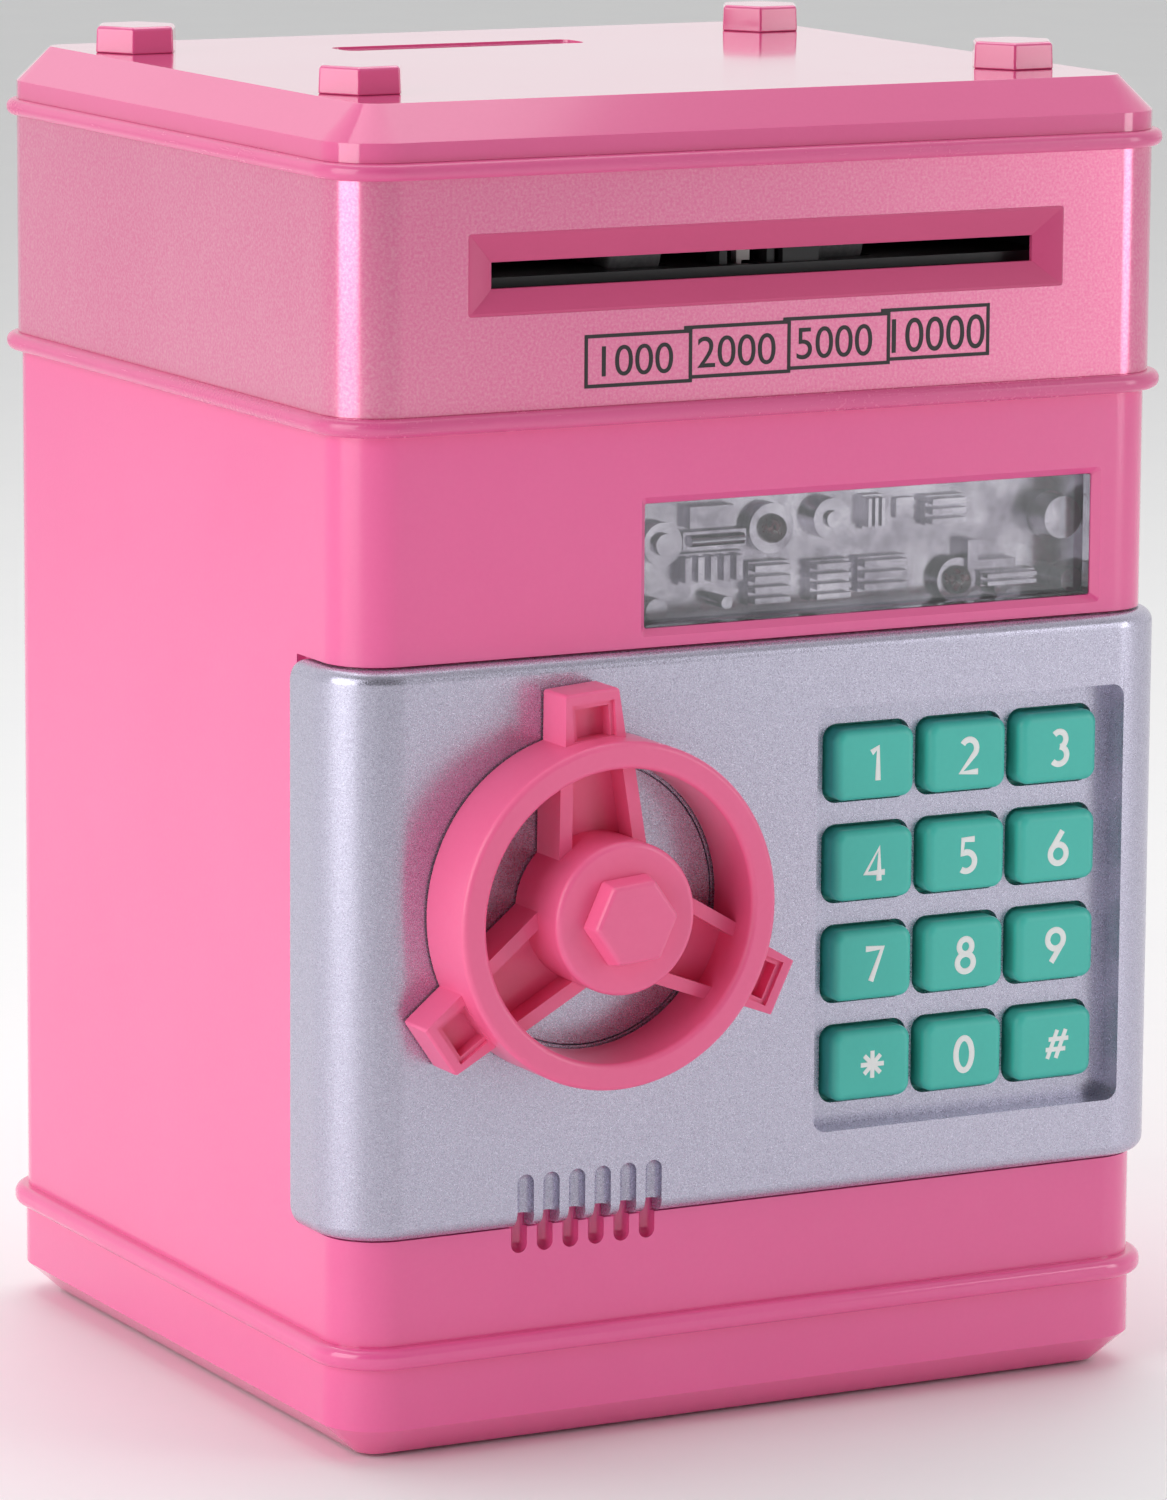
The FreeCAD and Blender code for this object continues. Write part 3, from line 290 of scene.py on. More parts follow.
@dataclass(frozen=True)
class FleckPaint(Finish):
    """Silver paint full of metal flakes that each lean their own way."""

    colour: Colour
    dark: Colour
    light: Colour
    roughness: float = 0.3
    flakes: float = 6500.0
    metallic: float = 0.75

    def paint(self, tree: FinishTree) -> Wire:
        """Flakes vary colour, gloss and slope; clouds vary the paint's thickness."""
        where = tree.place()
        flake = tree.node("ShaderNodeTexVoronoi", {}, {"Vector": where, "Scale": self.flakes}, "Color")
        value = tree.node("ShaderNodeSeparateColor", {}, {"Color": flake}, 0)
        shine = tree.node("ShaderNodeSeparateColor", {}, {"Color": flake}, 1)
        cloud = tree.noise(where, 30.0, 4.0, 0.5)
        base = tree.blend(self.dark, self.colour, value.ramp(0.0, 0.45))
        base = tree.blend(base, self.light, value.ramp(0.8, 1.0) * 0.45)
        base = tree.blend(base, self.colour, cloud.ramp(0.3, 0.8) * 0.35)
        peel = tree.noise(where, 420.0, 2.0, 0.5)
        height = value * 0.5 + peel * 1.6
        return tree.surface({
            "Base Color": base, "Metallic": self.metallic, "IOR": 1.5,
            "Roughness": self.roughness + (shine - 0.5) * 0.16 + (cloud - 0.5) * 0.06,
            "Coat Weight": 0.25, "Coat Roughness": 0.2,
            "Normal": tree.bump(height, 0.00001),
        })


@dataclass(frozen=True)
class PearlPaint(Finish):
    """Glossy pearl plastic: a pink ground under a bright satin sheen."""

    colour: Colour
    pearl: Colour
    roughness: float = 0.2
    metallic: float = 0.55

    def paint(self, tree: FinishTree) -> Wire:
        """Fine pearl grains over slow clouds, below a clear gloss."""
        where = tree.place()
        grain = tree.noise(where, 2400.0, 2.0, 0.6)
        cloud = tree.noise(where, 26.0, 4.0, 0.5)
        sheen = grain.ramp(0.35, 0.75) * 0.5 + cloud.ramp(0.3, 0.8) * 0.15
        colour = tree.blend(self.colour, self.pearl, sheen)
        return tree.surface({
            "Base Color": colour, "Metallic": self.metallic, "IOR": 1.5,
            "Roughness": self.roughness + (grain - 0.5) * 0.06 + (cloud - 0.5) * 0.05,
            "Coat Weight": 0.5, "Coat Roughness": 0.06,
            "Normal": tree.bump(grain + tree.noise(where, 260.0, 2.0, 0.5), 0.000004),
        })


@dataclass(frozen=True)
class Ink(Finish):
    """Screen-printed ink: dense, slightly uneven and satin."""

    colour: Colour
    worn: Colour
    roughness: float = 0.5

    def paint(self, tree: FinishTree) -> Wire:
        """Tiny pinholes lighten the ink."""
        grain = tree.noise(tree.place(), 5200.0, 3.0, 0.7)
        colour = tree.blend(self.colour, self.worn, grain.ramp(0.58, 0.8) * 0.6)
        rough = self.roughness + (grain - 0.5) * 0.25
        return tree.surface({"Base Color": colour, "Roughness": rough, "Normal": tree.bump(grain, 0.000008)})


@dataclass(frozen=True)
class ClearLens(Finish):
    """Clear polystyrene: seen straight through, with a gloss that grows at a slant."""

    def paint(self, tree: FinishTree) -> Wire:
        """A mirror skin over nothing, by Fresnel, with faint wipe marks."""
        wipe = tree.noise(tree.place((1.0, 1.0, 6.0), (0.0, 0.5, 0.2)), 240.0, 4.0, 0.7)
        gloss = tree.node("ShaderNodeFresnel", {}, {"IOR": 1.56})
        alpha = gloss * 0.9 + wipe.ramp(0.55, 0.9) * 0.05 + 0.015
        return tree.surface({
            "Base Color": (0.95, 0.96, 1.0), "Metallic": 1.0, "Alpha": alpha,
            "Roughness": 0.03 + wipe.ramp(0.5, 0.9) * 0.12,
        })


@dataclass(frozen=True)
class Metal(Finish):
    """Plated or bare metal with streaks and fine pits."""

    colour: Colour
    # Darker cloud tone: real dulling on steel and zinc; on the window's chrome panel it is painted shade for
    # the deep recess.
    dull_and_shade: Colour
    roughness: float = 0.25
    stretch: Colour = (1.0, 1.0, 8.0)
    depth: float = 0.000004

    def paint(self, tree: FinishTree) -> Wire:
        """Streaks vary the gloss and clouds darken the colour toward the darker tone: real dulling on steel
        and zinc, painted shade on the chrome panel.
        """
        streak = tree.noise(tree.place(self.stretch), 700.0, 4.0, 0.7)
        cloud = tree.noise(tree.place(), 130.0, 4.0, 0.6)
        # Clouds blend toward the darker tone; on the chrome panel this darkening is painted shade.
        colour = tree.blend(self.colour, self.dull_and_shade, cloud.ramp(0.4, 0.75))
        rough = self.roughness + (streak - 0.5) * 0.2 + (cloud - 0.5) * 0.16
        return tree.surface({"Base Color": colour, "Metallic": 1.0, "Roughness": rough,
                             "Normal": tree.bump(streak, self.depth)})


@dataclass(frozen=True)
class Rubber(Finish):
    """Ground or moulded rubber: matt, grainy, with a dusty bloom."""

    colour: Colour
    bloom: Colour
    grain: float = 1400.0
    depth: float = 0.00003

    def paint(self, tree: FinishTree) -> Wire:
        """Bloom gathers on the high grain."""
        grain = tree.noise(tree.place(), self.grain, 4.0, 0.65)
        cloud = tree.noise(tree.place(), 90.0, 3.0, 0.5)
        colour = tree.blend(self.colour, self.bloom, (grain * 0.6 + cloud * 0.4).ramp(0.4, 0.8))
        return tree.surface({"Base Color": colour, "Roughness": 0.72 + (grain - 0.5) * 0.3,
                             "Normal": tree.bump(grain, self.depth)})


@dataclass(frozen=True)
class SolderMask(Finish):
    """A circuit board: green mask over copper tracks, with pads."""

    colour: Colour
    track: Colour
    pad: Colour
    pitch: float = 420.0

    def paint(self, tree: FinishTree) -> Wire:
        """Square cells stand for tracks and round dots for pads."""
        flat = tree.place((1.0, 0.0, 1.0), (0.0, 0.0, 0.0))
        square = {"distance": "CHEBYCHEV"}
        cells = tree.node("ShaderNodeTexVoronoi", square, {"Vector": flat, "Scale": self.pitch})
        track = cells.ramp(0.42, 0.46)
        dots = tree.node("ShaderNodeTexVoronoi", {}, {"Vector": flat, "Scale": self.pitch * 0.8})
        pad = 1.0 - dots.ramp(0.1, 0.14)
        colour = tree.blend(tree.blend(self.colour, self.track, track), self.pad, pad)
        fibre = tree.noise(tree.place(), 2200.0, 2.0, 0.5)
        rough = 0.34 + (fibre - 0.5) * 0.2
        return tree.surface({"Base Color": colour, "Metallic": pad * 0.9, "Roughness": rough,
                             "Normal": tree.bump(track + pad, 0.00003)})


@dataclass(frozen=True)
class TintedDome(Finish):
    """A dark tinted lamp: deep colour with a hot glint inside."""

    colour: Colour
    core: Colour

    def paint(self, tree: FinishTree) -> Wire:
        """Noise mottles the tint below a wet gloss."""
        speck = tree.noise(tree.place(), 900.0, 3.0, 0.6)
        colour = tree.blend(self.colour, self.core, speck.ramp(0.45, 0.8) * 0.6)
        return tree.surface({"Base Color": colour, "Roughness": 0.08 + speck * 0.08, "IOR": 1.55,
                             "Coat Weight": 0.8, "Coat Roughness": 0.03,
                             "Normal": tree.bump(speck, 0.000006)})


PINK_CASE = MouldedPlastic("case_pink_gloss", (0.90, 0.13, 0.36), (0.84, 0.10, 0.32), 0.2, coat=0.6)
PINK_TRIM = MouldedPlastic("trim_pink_gloss", (0.76, 0.12, 0.31), (0.68, 0.09, 0.26), 0.26, coat=0.3)
PINK_LID = MouldedPlastic("lid_pink_gloss", (0.80, 0.12, 0.32), (0.74, 0.10, 0.28), 0.14, coat=0.9)
PINK_BEZEL = MouldedPlastic("bezel_pink_satin", (0.64, 0.07, 0.21), (0.58, 0.06, 0.18), 0.42)
PINK_WHEEL = MouldedPlastic("wheel_pink_soft", (0.92, 0.15, 0.33), (0.86, 0.11, 0.27), 0.36,
                             grain=1100.0, coat=0.15)
PINK_HEAD = PearlPaint("head_pink_pearl", (0.84, 0.19, 0.38), (0.94, 0.46, 0.58))
SILVER = FleckPaint("door_silver_fleck", (0.52, 0.50, 0.62), (0.41, 0.39, 0.50), (0.74, 0.73, 0.86))
TEAL = MouldedPlastic("key_teal_satin", (0.075, 0.58, 0.49), (0.055, 0.50, 0.43), 0.36, grain=1300.0)
WHITE_INK = Ink("digit_white_ink", (0.90, 0.93, 0.92), (0.55, 0.75, 0.72), 0.45)
BLACK_INK = Ink("print_black_ink", (0.012, 0.010, 0.012), (0.09, 0.05, 0.07), 0.45)
LENS = ClearLens("lens_clear_plastic")
# The chrome panel's dimmed colour and its very dark cloud tone are painted shade, standing in for the
# darkness of the deep recess behind the lens.
CHROME_WITH_PAINTED_SHADE = Metal("panel_chrome_painted_shade", (0.56, 0.53, 0.60), (0.22, 0.19, 0.25), 0.2, (1.0, 1.0, 1.0), 0.000008)
STEEL = Metal("plated_steel", (0.62, 0.61, 0.60), (0.42, 0.41, 0.40), 0.3)
ZINC = Metal("zinc_screw", (0.56, 0.55, 0.50), (0.38, 0.36, 0.32), 0.34, (1.0, 1.0, 1.0))
LAMP = TintedDome("led_tinted", (0.035, 0.004, 0.010), (0.30, 0.02, 0.04))
BOARD = SolderMask("board_solder_mask", (0.012, 0.11, 0.035), (0.02, 0.19, 0.06), (0.75, 0.70, 0.55))
BLACK = MouldedPlastic("black_moulded", (0.016, 0.016, 0.018), (0.03, 0.03, 0.034), 0.42,
                        grain=900.0, depth=0.00002)
WHITE = MouldedPlastic("white_moulded", (0.72, 0.70, 0.68), (0.62, 0.60, 0.57), 0.4,
                        grain=900.0, depth=0.00001)
ACETAL = MouldedPlastic("gear_acetal", (0.74, 0.72, 0.64), (0.66, 0.63, 0.54), 0.3)
CELL = MouldedPlastic("cell_sleeve_green", (0.02, 0.20, 0.09), (0.015, 0.14, 0.06), 0.22, coat=0.6)
GREY_RUBBER = Rubber("roller_ground_rubber", (0.20, 0.20, 0.21), (0.36, 0.36, 0.37))
BLACK_RUBBER = Rubber("foot_rubber", (0.016, 0.016, 0.017), (0.06, 0.06, 0.06))
DOME_RUBBER = Rubber("dome_silicone", (0.42, 0.44, 0.46), (0.55, 0.56, 0.58), depth=0.00001)

FINISHES: dict[Slot, Finish] = {
    Slot.CASE: PINK_CASE, Slot.HEAD: PINK_HEAD, Slot.LID: PINK_LID, Slot.TRIM: PINK_TRIM,
    Slot.WHEEL: PINK_WHEEL,
    Slot.DOOR: SILVER, Slot.KEY: TEAL, Slot.PRINT: BLACK_INK, Slot.LENS: LENS, Slot.PANEL: CHROME_WITH_PAINTED_SHADE,
    Slot.LED: LAMP,
    Slot.BOARD: BOARD, Slot.BLACK: BLACK, Slot.WHITE: WHITE, Slot.STEEL: STEEL, Slot.ROLLER: GREY_RUBBER,
    Slot.RUBBER: BLACK_RUBBER, Slot.GEAR: ACETAL, Slot.CELL: CELL, Slot.SHEET: DOME_RUBBER,
}


# ---------------------------------------------------------------- mesh making


class Workshop:
    """Turns CAD copies, drawings and node trees into plain finished pieces."""

    def __init__(self, frame: Mapping[str, Any]) -> None:
        """Look up each node's object, body and slot."""
        self.nodes: dict[str, bpy.types.Object] = frame["nodes"]
        self.slots = {s["node"]: Slot(s["material_slot"]) for s in frame["record"]["subparts"]}
        self.bodies = {n: o["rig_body"] for n, o in self.nodes.items()}
        self.done: set[str] = set()

    @staticmethod
    def link(mesh: bpy.types.Mesh, name: str) -> bpy.types.Object:
        """Put a mesh into the scene as an object at the origin."""
        made = bpy.data.objects.new(name, mesh)
        bpy.context.scene.collection.objects.link(made)
        return made

    @staticmethod
    def plain(source: bpy.types.Object, name: str) -> bpy.types.Object:
        """Replace an object by the plain mesh that its modifiers or curve give."""
        bpy.context.view_layer.update()
        ready = source.evaluated_get(bpy.context.evaluated_depsgraph_get())
        mesh = bpy.data.meshes.new_from_object(ready)
        bpy.data.objects.remove(source)
        mesh.name = name
        return Workshop.link(mesh, name)

    def islands(self, node: str) -> list[tuple[Vector, Vector]]:
        """The low and high corners of each separate solid in a CAD node, in metres."""
        shape = bmesh.new()
        shape.from_mesh(self.nodes[node].data)
        bmesh.ops.remove_doubles(shape, verts=shape.verts, dist=2e-6)
        waiting = set(shape.verts)
        found: list[tuple[Vector, Vector]] = []
        while waiting:
            group = [waiting.pop()]
            for vert in group:
                near = {edge.other_vert(vert) for edge in vert.link_edges} & waiting
                waiting -= near
                group.extend(near)
            sides = [sorted(vert.co[axis] for vert in group) for axis in range(3)]
            found.append((Vector([side[0] for side in sides]), Vector([side[-1] for side in sides])))
        shape.free()
        return sorted(found, key=lambda pair: tuple(pair[0]))

    def softened(self, node: str, radius: float, turn: float = 28.0, segments: int = 3) -> bpy.types.Object:
        """A copy of a CAD node with its sharp edges rounded.

        Args:
            node: The CAD node to copy.
            radius: Width of the rounding, in metres.
            turn: Edges that turn by more than this many degrees are rounded.
            segments: Steps in each rounding.

        Returns:
            The new piece.
        """
        shape = bmesh.new()
        shape.from_mesh(self.nodes[node].data)
        bmesh.ops.remove_doubles(shape, verts=shape.verts, dist=2e-6)
        bmesh.ops.dissolve_limit(shape, angle_limit=math.radians(0.4), verts=shape.verts, edges=shape.edges)
        mesh = bpy.data.meshes.new(node)
        shape.to_mesh(mesh)
        shape.free()
        mesh.materials.clear()
        for face in mesh.polygons:
            face.use_smooth = True
            face.material_index = 0
        made = self.link(mesh, node + "_raw")
        edge = made.modifiers.new("edge", "BEVEL")
        edge.width = radius
        edge.segments = segments
        edge.limit_method = "ANGLE"
        edge.angle_limit = math.radians(turn)
        edge.use_clamp_overlap = True
        shade = made.modifiers.new("shade", "WEIGHTED_NORMAL")
        shade.keep_sharp = True
        shade.weight = 80
        return self.plain(made, node + "_soft")

    def fit(self, piece: bpy.types.Object, finish: Finish, body: str, slot: Slot, *stands_for: str) -> None:
        """Give a piece its finish and body, and hide the nodes that it stands for."""
        piece.data.materials.clear()
        piece.data.materials.append(finish.material())
        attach(piece, body)
        if stands_for:
            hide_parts(*stands_for)
            self.done.update(stands_for)
        LOG.info("%s rides on %s in %s, %d faces", piece.name, body, finish.name, len(piece.data.polygons))

    def soften(self, node: str, radius: float, finish: Union[Finish, None] = None,
               turn: float = 28.0) -> None:
        """Replace a CAD node by its softened copy in its slot's finish."""
        slot = self.slots[node]
        self.fit(self.softened(node, radius, turn), finish or FINISHES[slot], self.bodies[node], slot, node)

    def dress(self, node: str, finish: Union[Finish, None] = None) -> None:
        """Give a CAD node that stays a finish."""
        slot = self.slots[node]
        mesh = self.nodes[node].data
        mesh.materials.clear()
        mesh.materials.append((finish or FINISHES[slot]).material())
        self.done.add(node)
        LOG.info("%s keeps its CAD shape in %s", node, (finish or FINISHES[slot]).name)


class NodeRecipe:
    """A Geometry Nodes tree with named inputs that is run once and left as a plain mesh."""

    def __init__(self, name: str) -> None:
        """Start the tree with its geometry and material sockets."""
        self.tree = bpy.data.node_groups.new(name, "GeometryNodeTree")
        self.ids: dict[str, str] = {}
        self.start = self.tree.nodes.new("NodeGroupInput")
        self.end = self.tree.nodes.new("NodeGroupOutput")
        self.take("Places", "NodeSocketGeometry")
        self.take("Finish", "NodeSocketMaterial")
        self.tree.interface.new_socket("Geometry", in_out="OUTPUT", socket_type="NodeSocketGeometry")

    def take(self, name: str, kind: str = "NodeSocketFloat", default: Any = None) -> bpy.types.NodeSocket:
        """Declare a named input and return its socket."""
        made = self.tree.interface.new_socket(name, in_out="INPUT", socket_type=kind)
        if default is not None:
            made.default_value = default
        self.ids[name] = made.identifier
        return self.start.outputs[name]

    def node(self, kind: str, settings: Mapping[str, Any], sockets: Mapping[Union[int, str], Any],
             out: Union[int, str] = 0) -> bpy.types.NodeSocket:
        """Add any node.

        Args:
            kind: Blender's name for the node type.
            settings: Properties, set before the sockets.
            sockets: Values, sockets, or lists of sockets for a joining input.
            out: Which output to return.

        Returns:
            The chosen output socket.
        """
        made = self.tree.nodes.new(kind)
        for key, value in settings.items():
            setattr(made, key, value)
        for key, value in sockets.items():
            for item in value if isinstance(value, list) else [value]:
                if isinstance(item, bpy.types.NodeSocket):
                    self.tree.links.new(item, made.inputs[key])
                else:
                    made.inputs[key].default_value = item
        return made.outputs[out]

    def maths(self, operation: str, first: Any, second: Any) -> bpy.types.NodeSocket:
        """One sum of two numbers."""
        return self.node("ShaderNodeMath", {"operation": operation}, {0: first, 1: second})

    def vector(self, x: Any, y: Any, z: Any) -> bpy.types.NodeSocket:
        """A vector from three numbers."""
        return self.node("ShaderNodeCombineXYZ", {}, {0: x, 1: y, 2: z})

    def finish(self, geometry: bpy.types.NodeSocket) -> None:
        """End the tree: realise the instances and set the finish."""
        real = self.node("GeometryNodeRealizeInstances", {}, {0: geometry})
        finish = self.start.outputs["Finish"]
        done = self.node("GeometryNodeSetMaterial", {}, {"Geometry": real, "Material": finish})
        self.tree.links.new(done, self.end.inputs["Geometry"])

    def run(self, name: str, places: Iterable[Vector], finish: Finish,
            values: Mapping[str, Any]) -> bpy.types.Object:
        """Run the recipe on some points.

        Args:
            name: Name of the piece.
            places: Points, in metres.
            finish: The finish of everything made.
            values: The named inputs.

        Returns:
            The plain mesh piece.
        """
        seeds = bpy.data.meshes.new(name + "_places")
        seeds.from_pydata([tuple(p) for p in places], [], [])
        holder = Workshop.link(seeds, name + "_holder")
        step = holder.modifiers.new(name, "NODES")
        step.node_group = self.tree
        step[self.ids["Finish"]] = finish.material()
        for key, value in values.items():
            step[self.ids[key]] = value
        return Workshop.plain(holder, name)


@dataclass
class PanScrews:
    """Pan-headed screws with a cross recess, drawn in millimetres and set on points."""

    recipe: Union[NodeRecipe, None] = None

    def build_recipe(self) -> NodeRecipe:
        """Draw one screw along +Z with its head's underside at 0, and set it on every point."""
        made = NodeRecipe("pan_screw")
        radius = made.take("Head Radius", default=2.4)
        height = made.take("Head Height", default=1.6)
        shaft = made.take("Shaft Radius", default=1.1)
        length = made.take("Shaft Length", default=7.0)
        turn = made.take("Facing", "NodeSocketVector")
        seed = made.take("Seed", "NodeSocketInt", 3)
        disc = made.node("GeometryNodeMeshCircle", {"fill_type": "NGON"}, {"Vertices": 40, "Radius": radius})
        solid = disc
        for rise, shrink in ((0.5, 1.0), (0.25, 0.93), (0.17, 0.8), (0.08, 0.6)):
            up = made.tree.nodes.new("GeometryNodeExtrudeMesh")
            made.tree.links.new(solid, up.inputs["Mesh"])
            made.tree.links.new(made.maths("MULTIPLY", height, rise), up.inputs["Offset Scale"])
            up.inputs["Individual"].default_value = False
            if solid is not disc:
                made.tree.links.new(top, up.inputs["Selection"])
            top = up.outputs["Top"]
            ring = {"Geometry": up.outputs["Mesh"], "Selection": top, "Scale": shrink}
            solid = made.node("GeometryNodeScaleElements", {}, ring)
        under = made.node("GeometryNodeFlipFaces", {}, {"Mesh": disc})
        head = made.node("GeometryNodeJoinGeometry", {}, {0: [solid, under]})
        head = made.node("GeometryNodeMergeByDistance", {}, {"Geometry": head, "Distance": 0.001})
        wide = made.maths("MULTIPLY", radius, 1.05)
        thin = made.maths("MULTIPLY", radius, 0.24)
        deep = made.maths("MULTIPLY", height, 0.9)
        bars = []
        for size in (made.vector(wide, thin, deep), made.vector(thin, wide, deep)):
            bar = made.node("GeometryNodeMeshCube", {}, {"Size": size})
            lift = made.vector(0.0, 0.0, height)
            bars.append(made.node("GeometryNodeTransform", {}, {"Geometry": bar, "Translation": lift}))
        cut = {"operation": "DIFFERENCE"}
        head = made.node("GeometryNodeMeshBoolean", cut, {"Mesh 1": head, "Mesh 2": bars})
        stem = made.node("GeometryNodeMeshCylinder", {}, {"Vertices": 24, "Radius": shaft, "Depth": length})
        sink = made.vector(0.0, 0.0, made.maths("MULTIPLY", length, -0.5))
        stem = made.node("GeometryNodeTransform", {}, {"Geometry": stem, "Translation": sink})
        screw = made.node("GeometryNodeJoinGeometry", {}, {0: [head, stem]})
        spin = made.node("FunctionNodeRandomValue", {"data_type": "FLOAT"}, {2: 0.0, 3: 1.5, "Seed": seed}, 1)
        own = made.node("FunctionNodeEulerToRotation", {}, {0: made.vector(0.0, 0.0, spin)})
        face = made.node("FunctionNodeEulerToRotation", {}, {0: turn})
        pose = made.node("FunctionNodeRotateRotation", {"rotation_space": "LOCAL"}, {0: face, 1: own})
        sockets = {"Points": made.start.outputs["Places"], "Instance": screw, "Rotation": pose,
                   "Scale": (MM, MM, MM)}
        made.finish(made.node("GeometryNodeInstanceOnPoints", {}, sockets))
        return made

    def set(self, name: str, places: Iterable[Vector], facing: Sequence[float], head_radius: float,
            head_height: float, shaft_radius: float, length: float, seed: int) -> bpy.types.Object:
        """Make one group of screws.

        Args:
            name: Name of the piece.
            places: Points under each head, in metres.
            facing: Turn that carries +Z to the way that the heads look, in radians.
            head_radius: In millimetres, as are the three sizes after it.
            head_height: Height of the head.
            shaft_radius: Radius of the shaft.
            length: Length of the shaft.
            seed: Seed of the slots' random turn.

        Returns:
            The screws as one mesh.
        """
        if self.recipe is None:
            self.recipe = self.build_recipe()
        values = {"Head Radius": head_radius, "Head Height": head_height, "Shaft Radius": shaft_radius,
                  "Shaft Length": length, "Facing": tuple(facing), "Seed": seed}
        made = self.recipe.run(name, places, ZINC, values)
        for face in made.data.polygons:
            face.use_smooth = False
        return made


# ---------------------------------------------------------------- sub-assemblies


@dataclass
class SubAssembly(ABC):
    """A group of pieces that is built and dressed together."""

    shop: Workshop

    @abstractmethod
    def build(self) -> None:
        """Make the group's pieces."""


@dataclass
class Case(SubAssembly):
    """The body, base, head, lid and the bands between them."""

    edge: float = 0.35 * MM
    band_edge: float = 0.25 * MM
    lid_edge: float = 0.5 * MM
    stud_edge: float = 0.3 * MM

    def build(self) -> None:
        """Soften the shell's edges."""
        for node, radius in (("body_shell", self.edge), ("base_tray", self.edge), ("head_shell", self.edge),
                             ("waist_band", self.band_edge), ("crown_band", self.band_edge),
                             ("lid", self.lid_edge),
                             ("hex_studs", self.stud_edge), ("battery_cover", self.band_edge)):
            self.shop.soften(node, radius)
        self.shop.soften("slot_bezel", self.band_edge, PINK_BEZEL)


class Hand(Enum):
    """Strokes of each printed key mark, in a box one high; an arc is (x, z, rx, rz, from, to) in degrees."""

    ONE = "1"
    TWO = "2"
    THREE = "3"
    FOUR = "4"
    FIVE = "5"
    SIX = "6"
    SEVEN = "7"
    EIGHT = "8"
    NINE = "9"
    STAR = "star"
    ZERO = "0"
    HASH = "hash"


STROKES: dict[Hand, tuple[tuple[tuple[float, ...], ...], ...]] = {
    Hand.ONE: (((-0.17, 0.86), (0.06, 1.0), (0.06, 0.0)),),
    Hand.TWO: (((0.02, 0.73, 0.26, 0.27, 150, -38), (-0.26, 0.0), (0.34, 0.0)),),
    Hand.THREE: (((-0.01, 0.76, 0.23, 0.24, 140, -80),), ((-0.02, 0.27, 0.28, 0.27, 84, -140),)),
    Hand.FOUR: (((0.34, 0.25), (-0.33, 0.25), (0.14, 1.0), (0.14, 0.0)),),
    Hand.FIVE: (((0.26, 1.0), (-0.14, 1.0), (-0.17, 0.57), (-0.02, 0.32, 0.29, 0.29, 112, -128)),),
    Hand.SIX: (((0.16, 1.0), (-0.2, 0.46)), ((0.02, 0.29, 0.28, 0.29, 0, 360),)),
    Hand.SEVEN: (((-0.28, 1.0), (0.3, 1.0), (-0.1, 0.0)),),
    Hand.EIGHT: (((0.0, 0.77, 0.22, 0.23, -90, 270),), ((0.0, 0.27, 0.28, 0.27, 90, 450),)),
    Hand.NINE: (((-0.16, 0.0), (0.2, 0.54)), ((-0.02, 0.71, 0.28, 0.29, 0, 360),)),
    Hand.STAR: (((0.0, 0.08), (0.0, 0.92)), ((-0.4, 0.5), (0.4, 0.5)), ((-0.28, 0.22), (0.28, 0.78)),
                ((-0.28, 0.78), (0.28, 0.22))),
    Hand.ZERO: (((0.0, 0.5, 0.28, 0.5, 90, 450),),),
    Hand.HASH: (((-0.24, 0.06), (0.1, 0.94)), ((0.06, 0.06), (0.4, 0.94)), ((-0.3, 0.34), (0.4, 0.34)),
                ((-0.2, 0.66), (0.5, 0.66))),
}


@dataclass
class KeyMark:
    """A key's printed mark, drawn with one round pen and pressed nearly flat."""

    hand: Hand
    height: float = 4.75 * MM
    pen: float = 0.95 * MM
    thickness: float = 0.05 * MM

    def points(self, stroke: tuple[tuple[float, ...], ...]) -> list[tuple[float, float]]:
        """A stroke's points, with its arcs divided."""
        found: list[tuple[float, float]] = []
        for part in stroke:
            if len(part) == 2:
                found.append((part[0], part[1]))
                continue
            x, z, rx, rz, start, stop = part
            steps = max(6, int(abs(stop - start) / 12))
            for i in range(steps + 1):
                a = math.radians(start + (stop - start) * i / steps)
                found.append((x + rx * math.cos(a), z + rz * math.sin(a)))
        return found

    def mesh(self, name: str, centre: Vector) -> bpy.types.Object:
        """Draw the mark on a face that looks along -Y.

        Args:
            name: Name of the piece.
            centre: Middle of the mark on the key's face.

        Returns:
            The mark as a mesh.
        """
        pen = bpy.data.curves.new(name, "CURVE")
        pen.dimensions = "3D"
        slim = self.hand in (Hand.STAR, Hand.HASH)
        pen.bevel_depth = self.pen * (0.75 if slim else 1.0) / 2
        pen.bevel_resolution = 3
        pen.use_fill_caps = True
        for stroke in STROKES[self.hand]:
            line = self.points(stroke)
            closed = math.dist(line[0], line[-1]) < 1e-6
            if closed:
                line = line[:-1]
            run = pen.splines.new("POLY")
            run.points.add(len(line) - 1)
            run.use_cyclic_u = closed
            for point, (x, z) in zip(run.points, line):
                point.co = (x * self.height, 0.0, (z - 0.5) * self.height, 1.0)
        holder = bpy.data.objects.new(name, pen)
        bpy.context.scene.collection.objects.link(holder)
        made = Workshop.plain(holder, name)
        press = Matrix.Diagonal((1.0, self.thickness / (self.pen / 2), 1.0, 1.0))
        made.data.transform(Matrix.Translation(centre) @ press)
        for face in made.data.polygons:
            face.use_smooth = True
        return made


@dataclass
class Keypad(SubAssembly):
    """Twelve keys and their marks."""

    edge: float = 0.2 * MM

    def build(self) -> None:
        """Soften each key and print its mark."""
        for hand in Hand:
            node = "key_" + hand.value
            self.shop.soften(node, self.edge, turn=40.0)
            low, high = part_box(node)
            centre = Vector(((low.x + high.x) / 2, low.y, (low.z + high.z) / 2))
            mark = KeyMark(hand).mesh("mark_" + hand.value, centre)
            self.shop.fit(mark, WHITE_INK, self.shop.bodies[node], Slot.KEY)
        self.shop.dress("keypad_board")
        self.shop.dress("dome_sheet")


@dataclass
class Amount:
    """One printed amount, placed from the corner of its row of frames; millimetres."""

    text: str
    left: float
    right: float
    low: float
    high: float


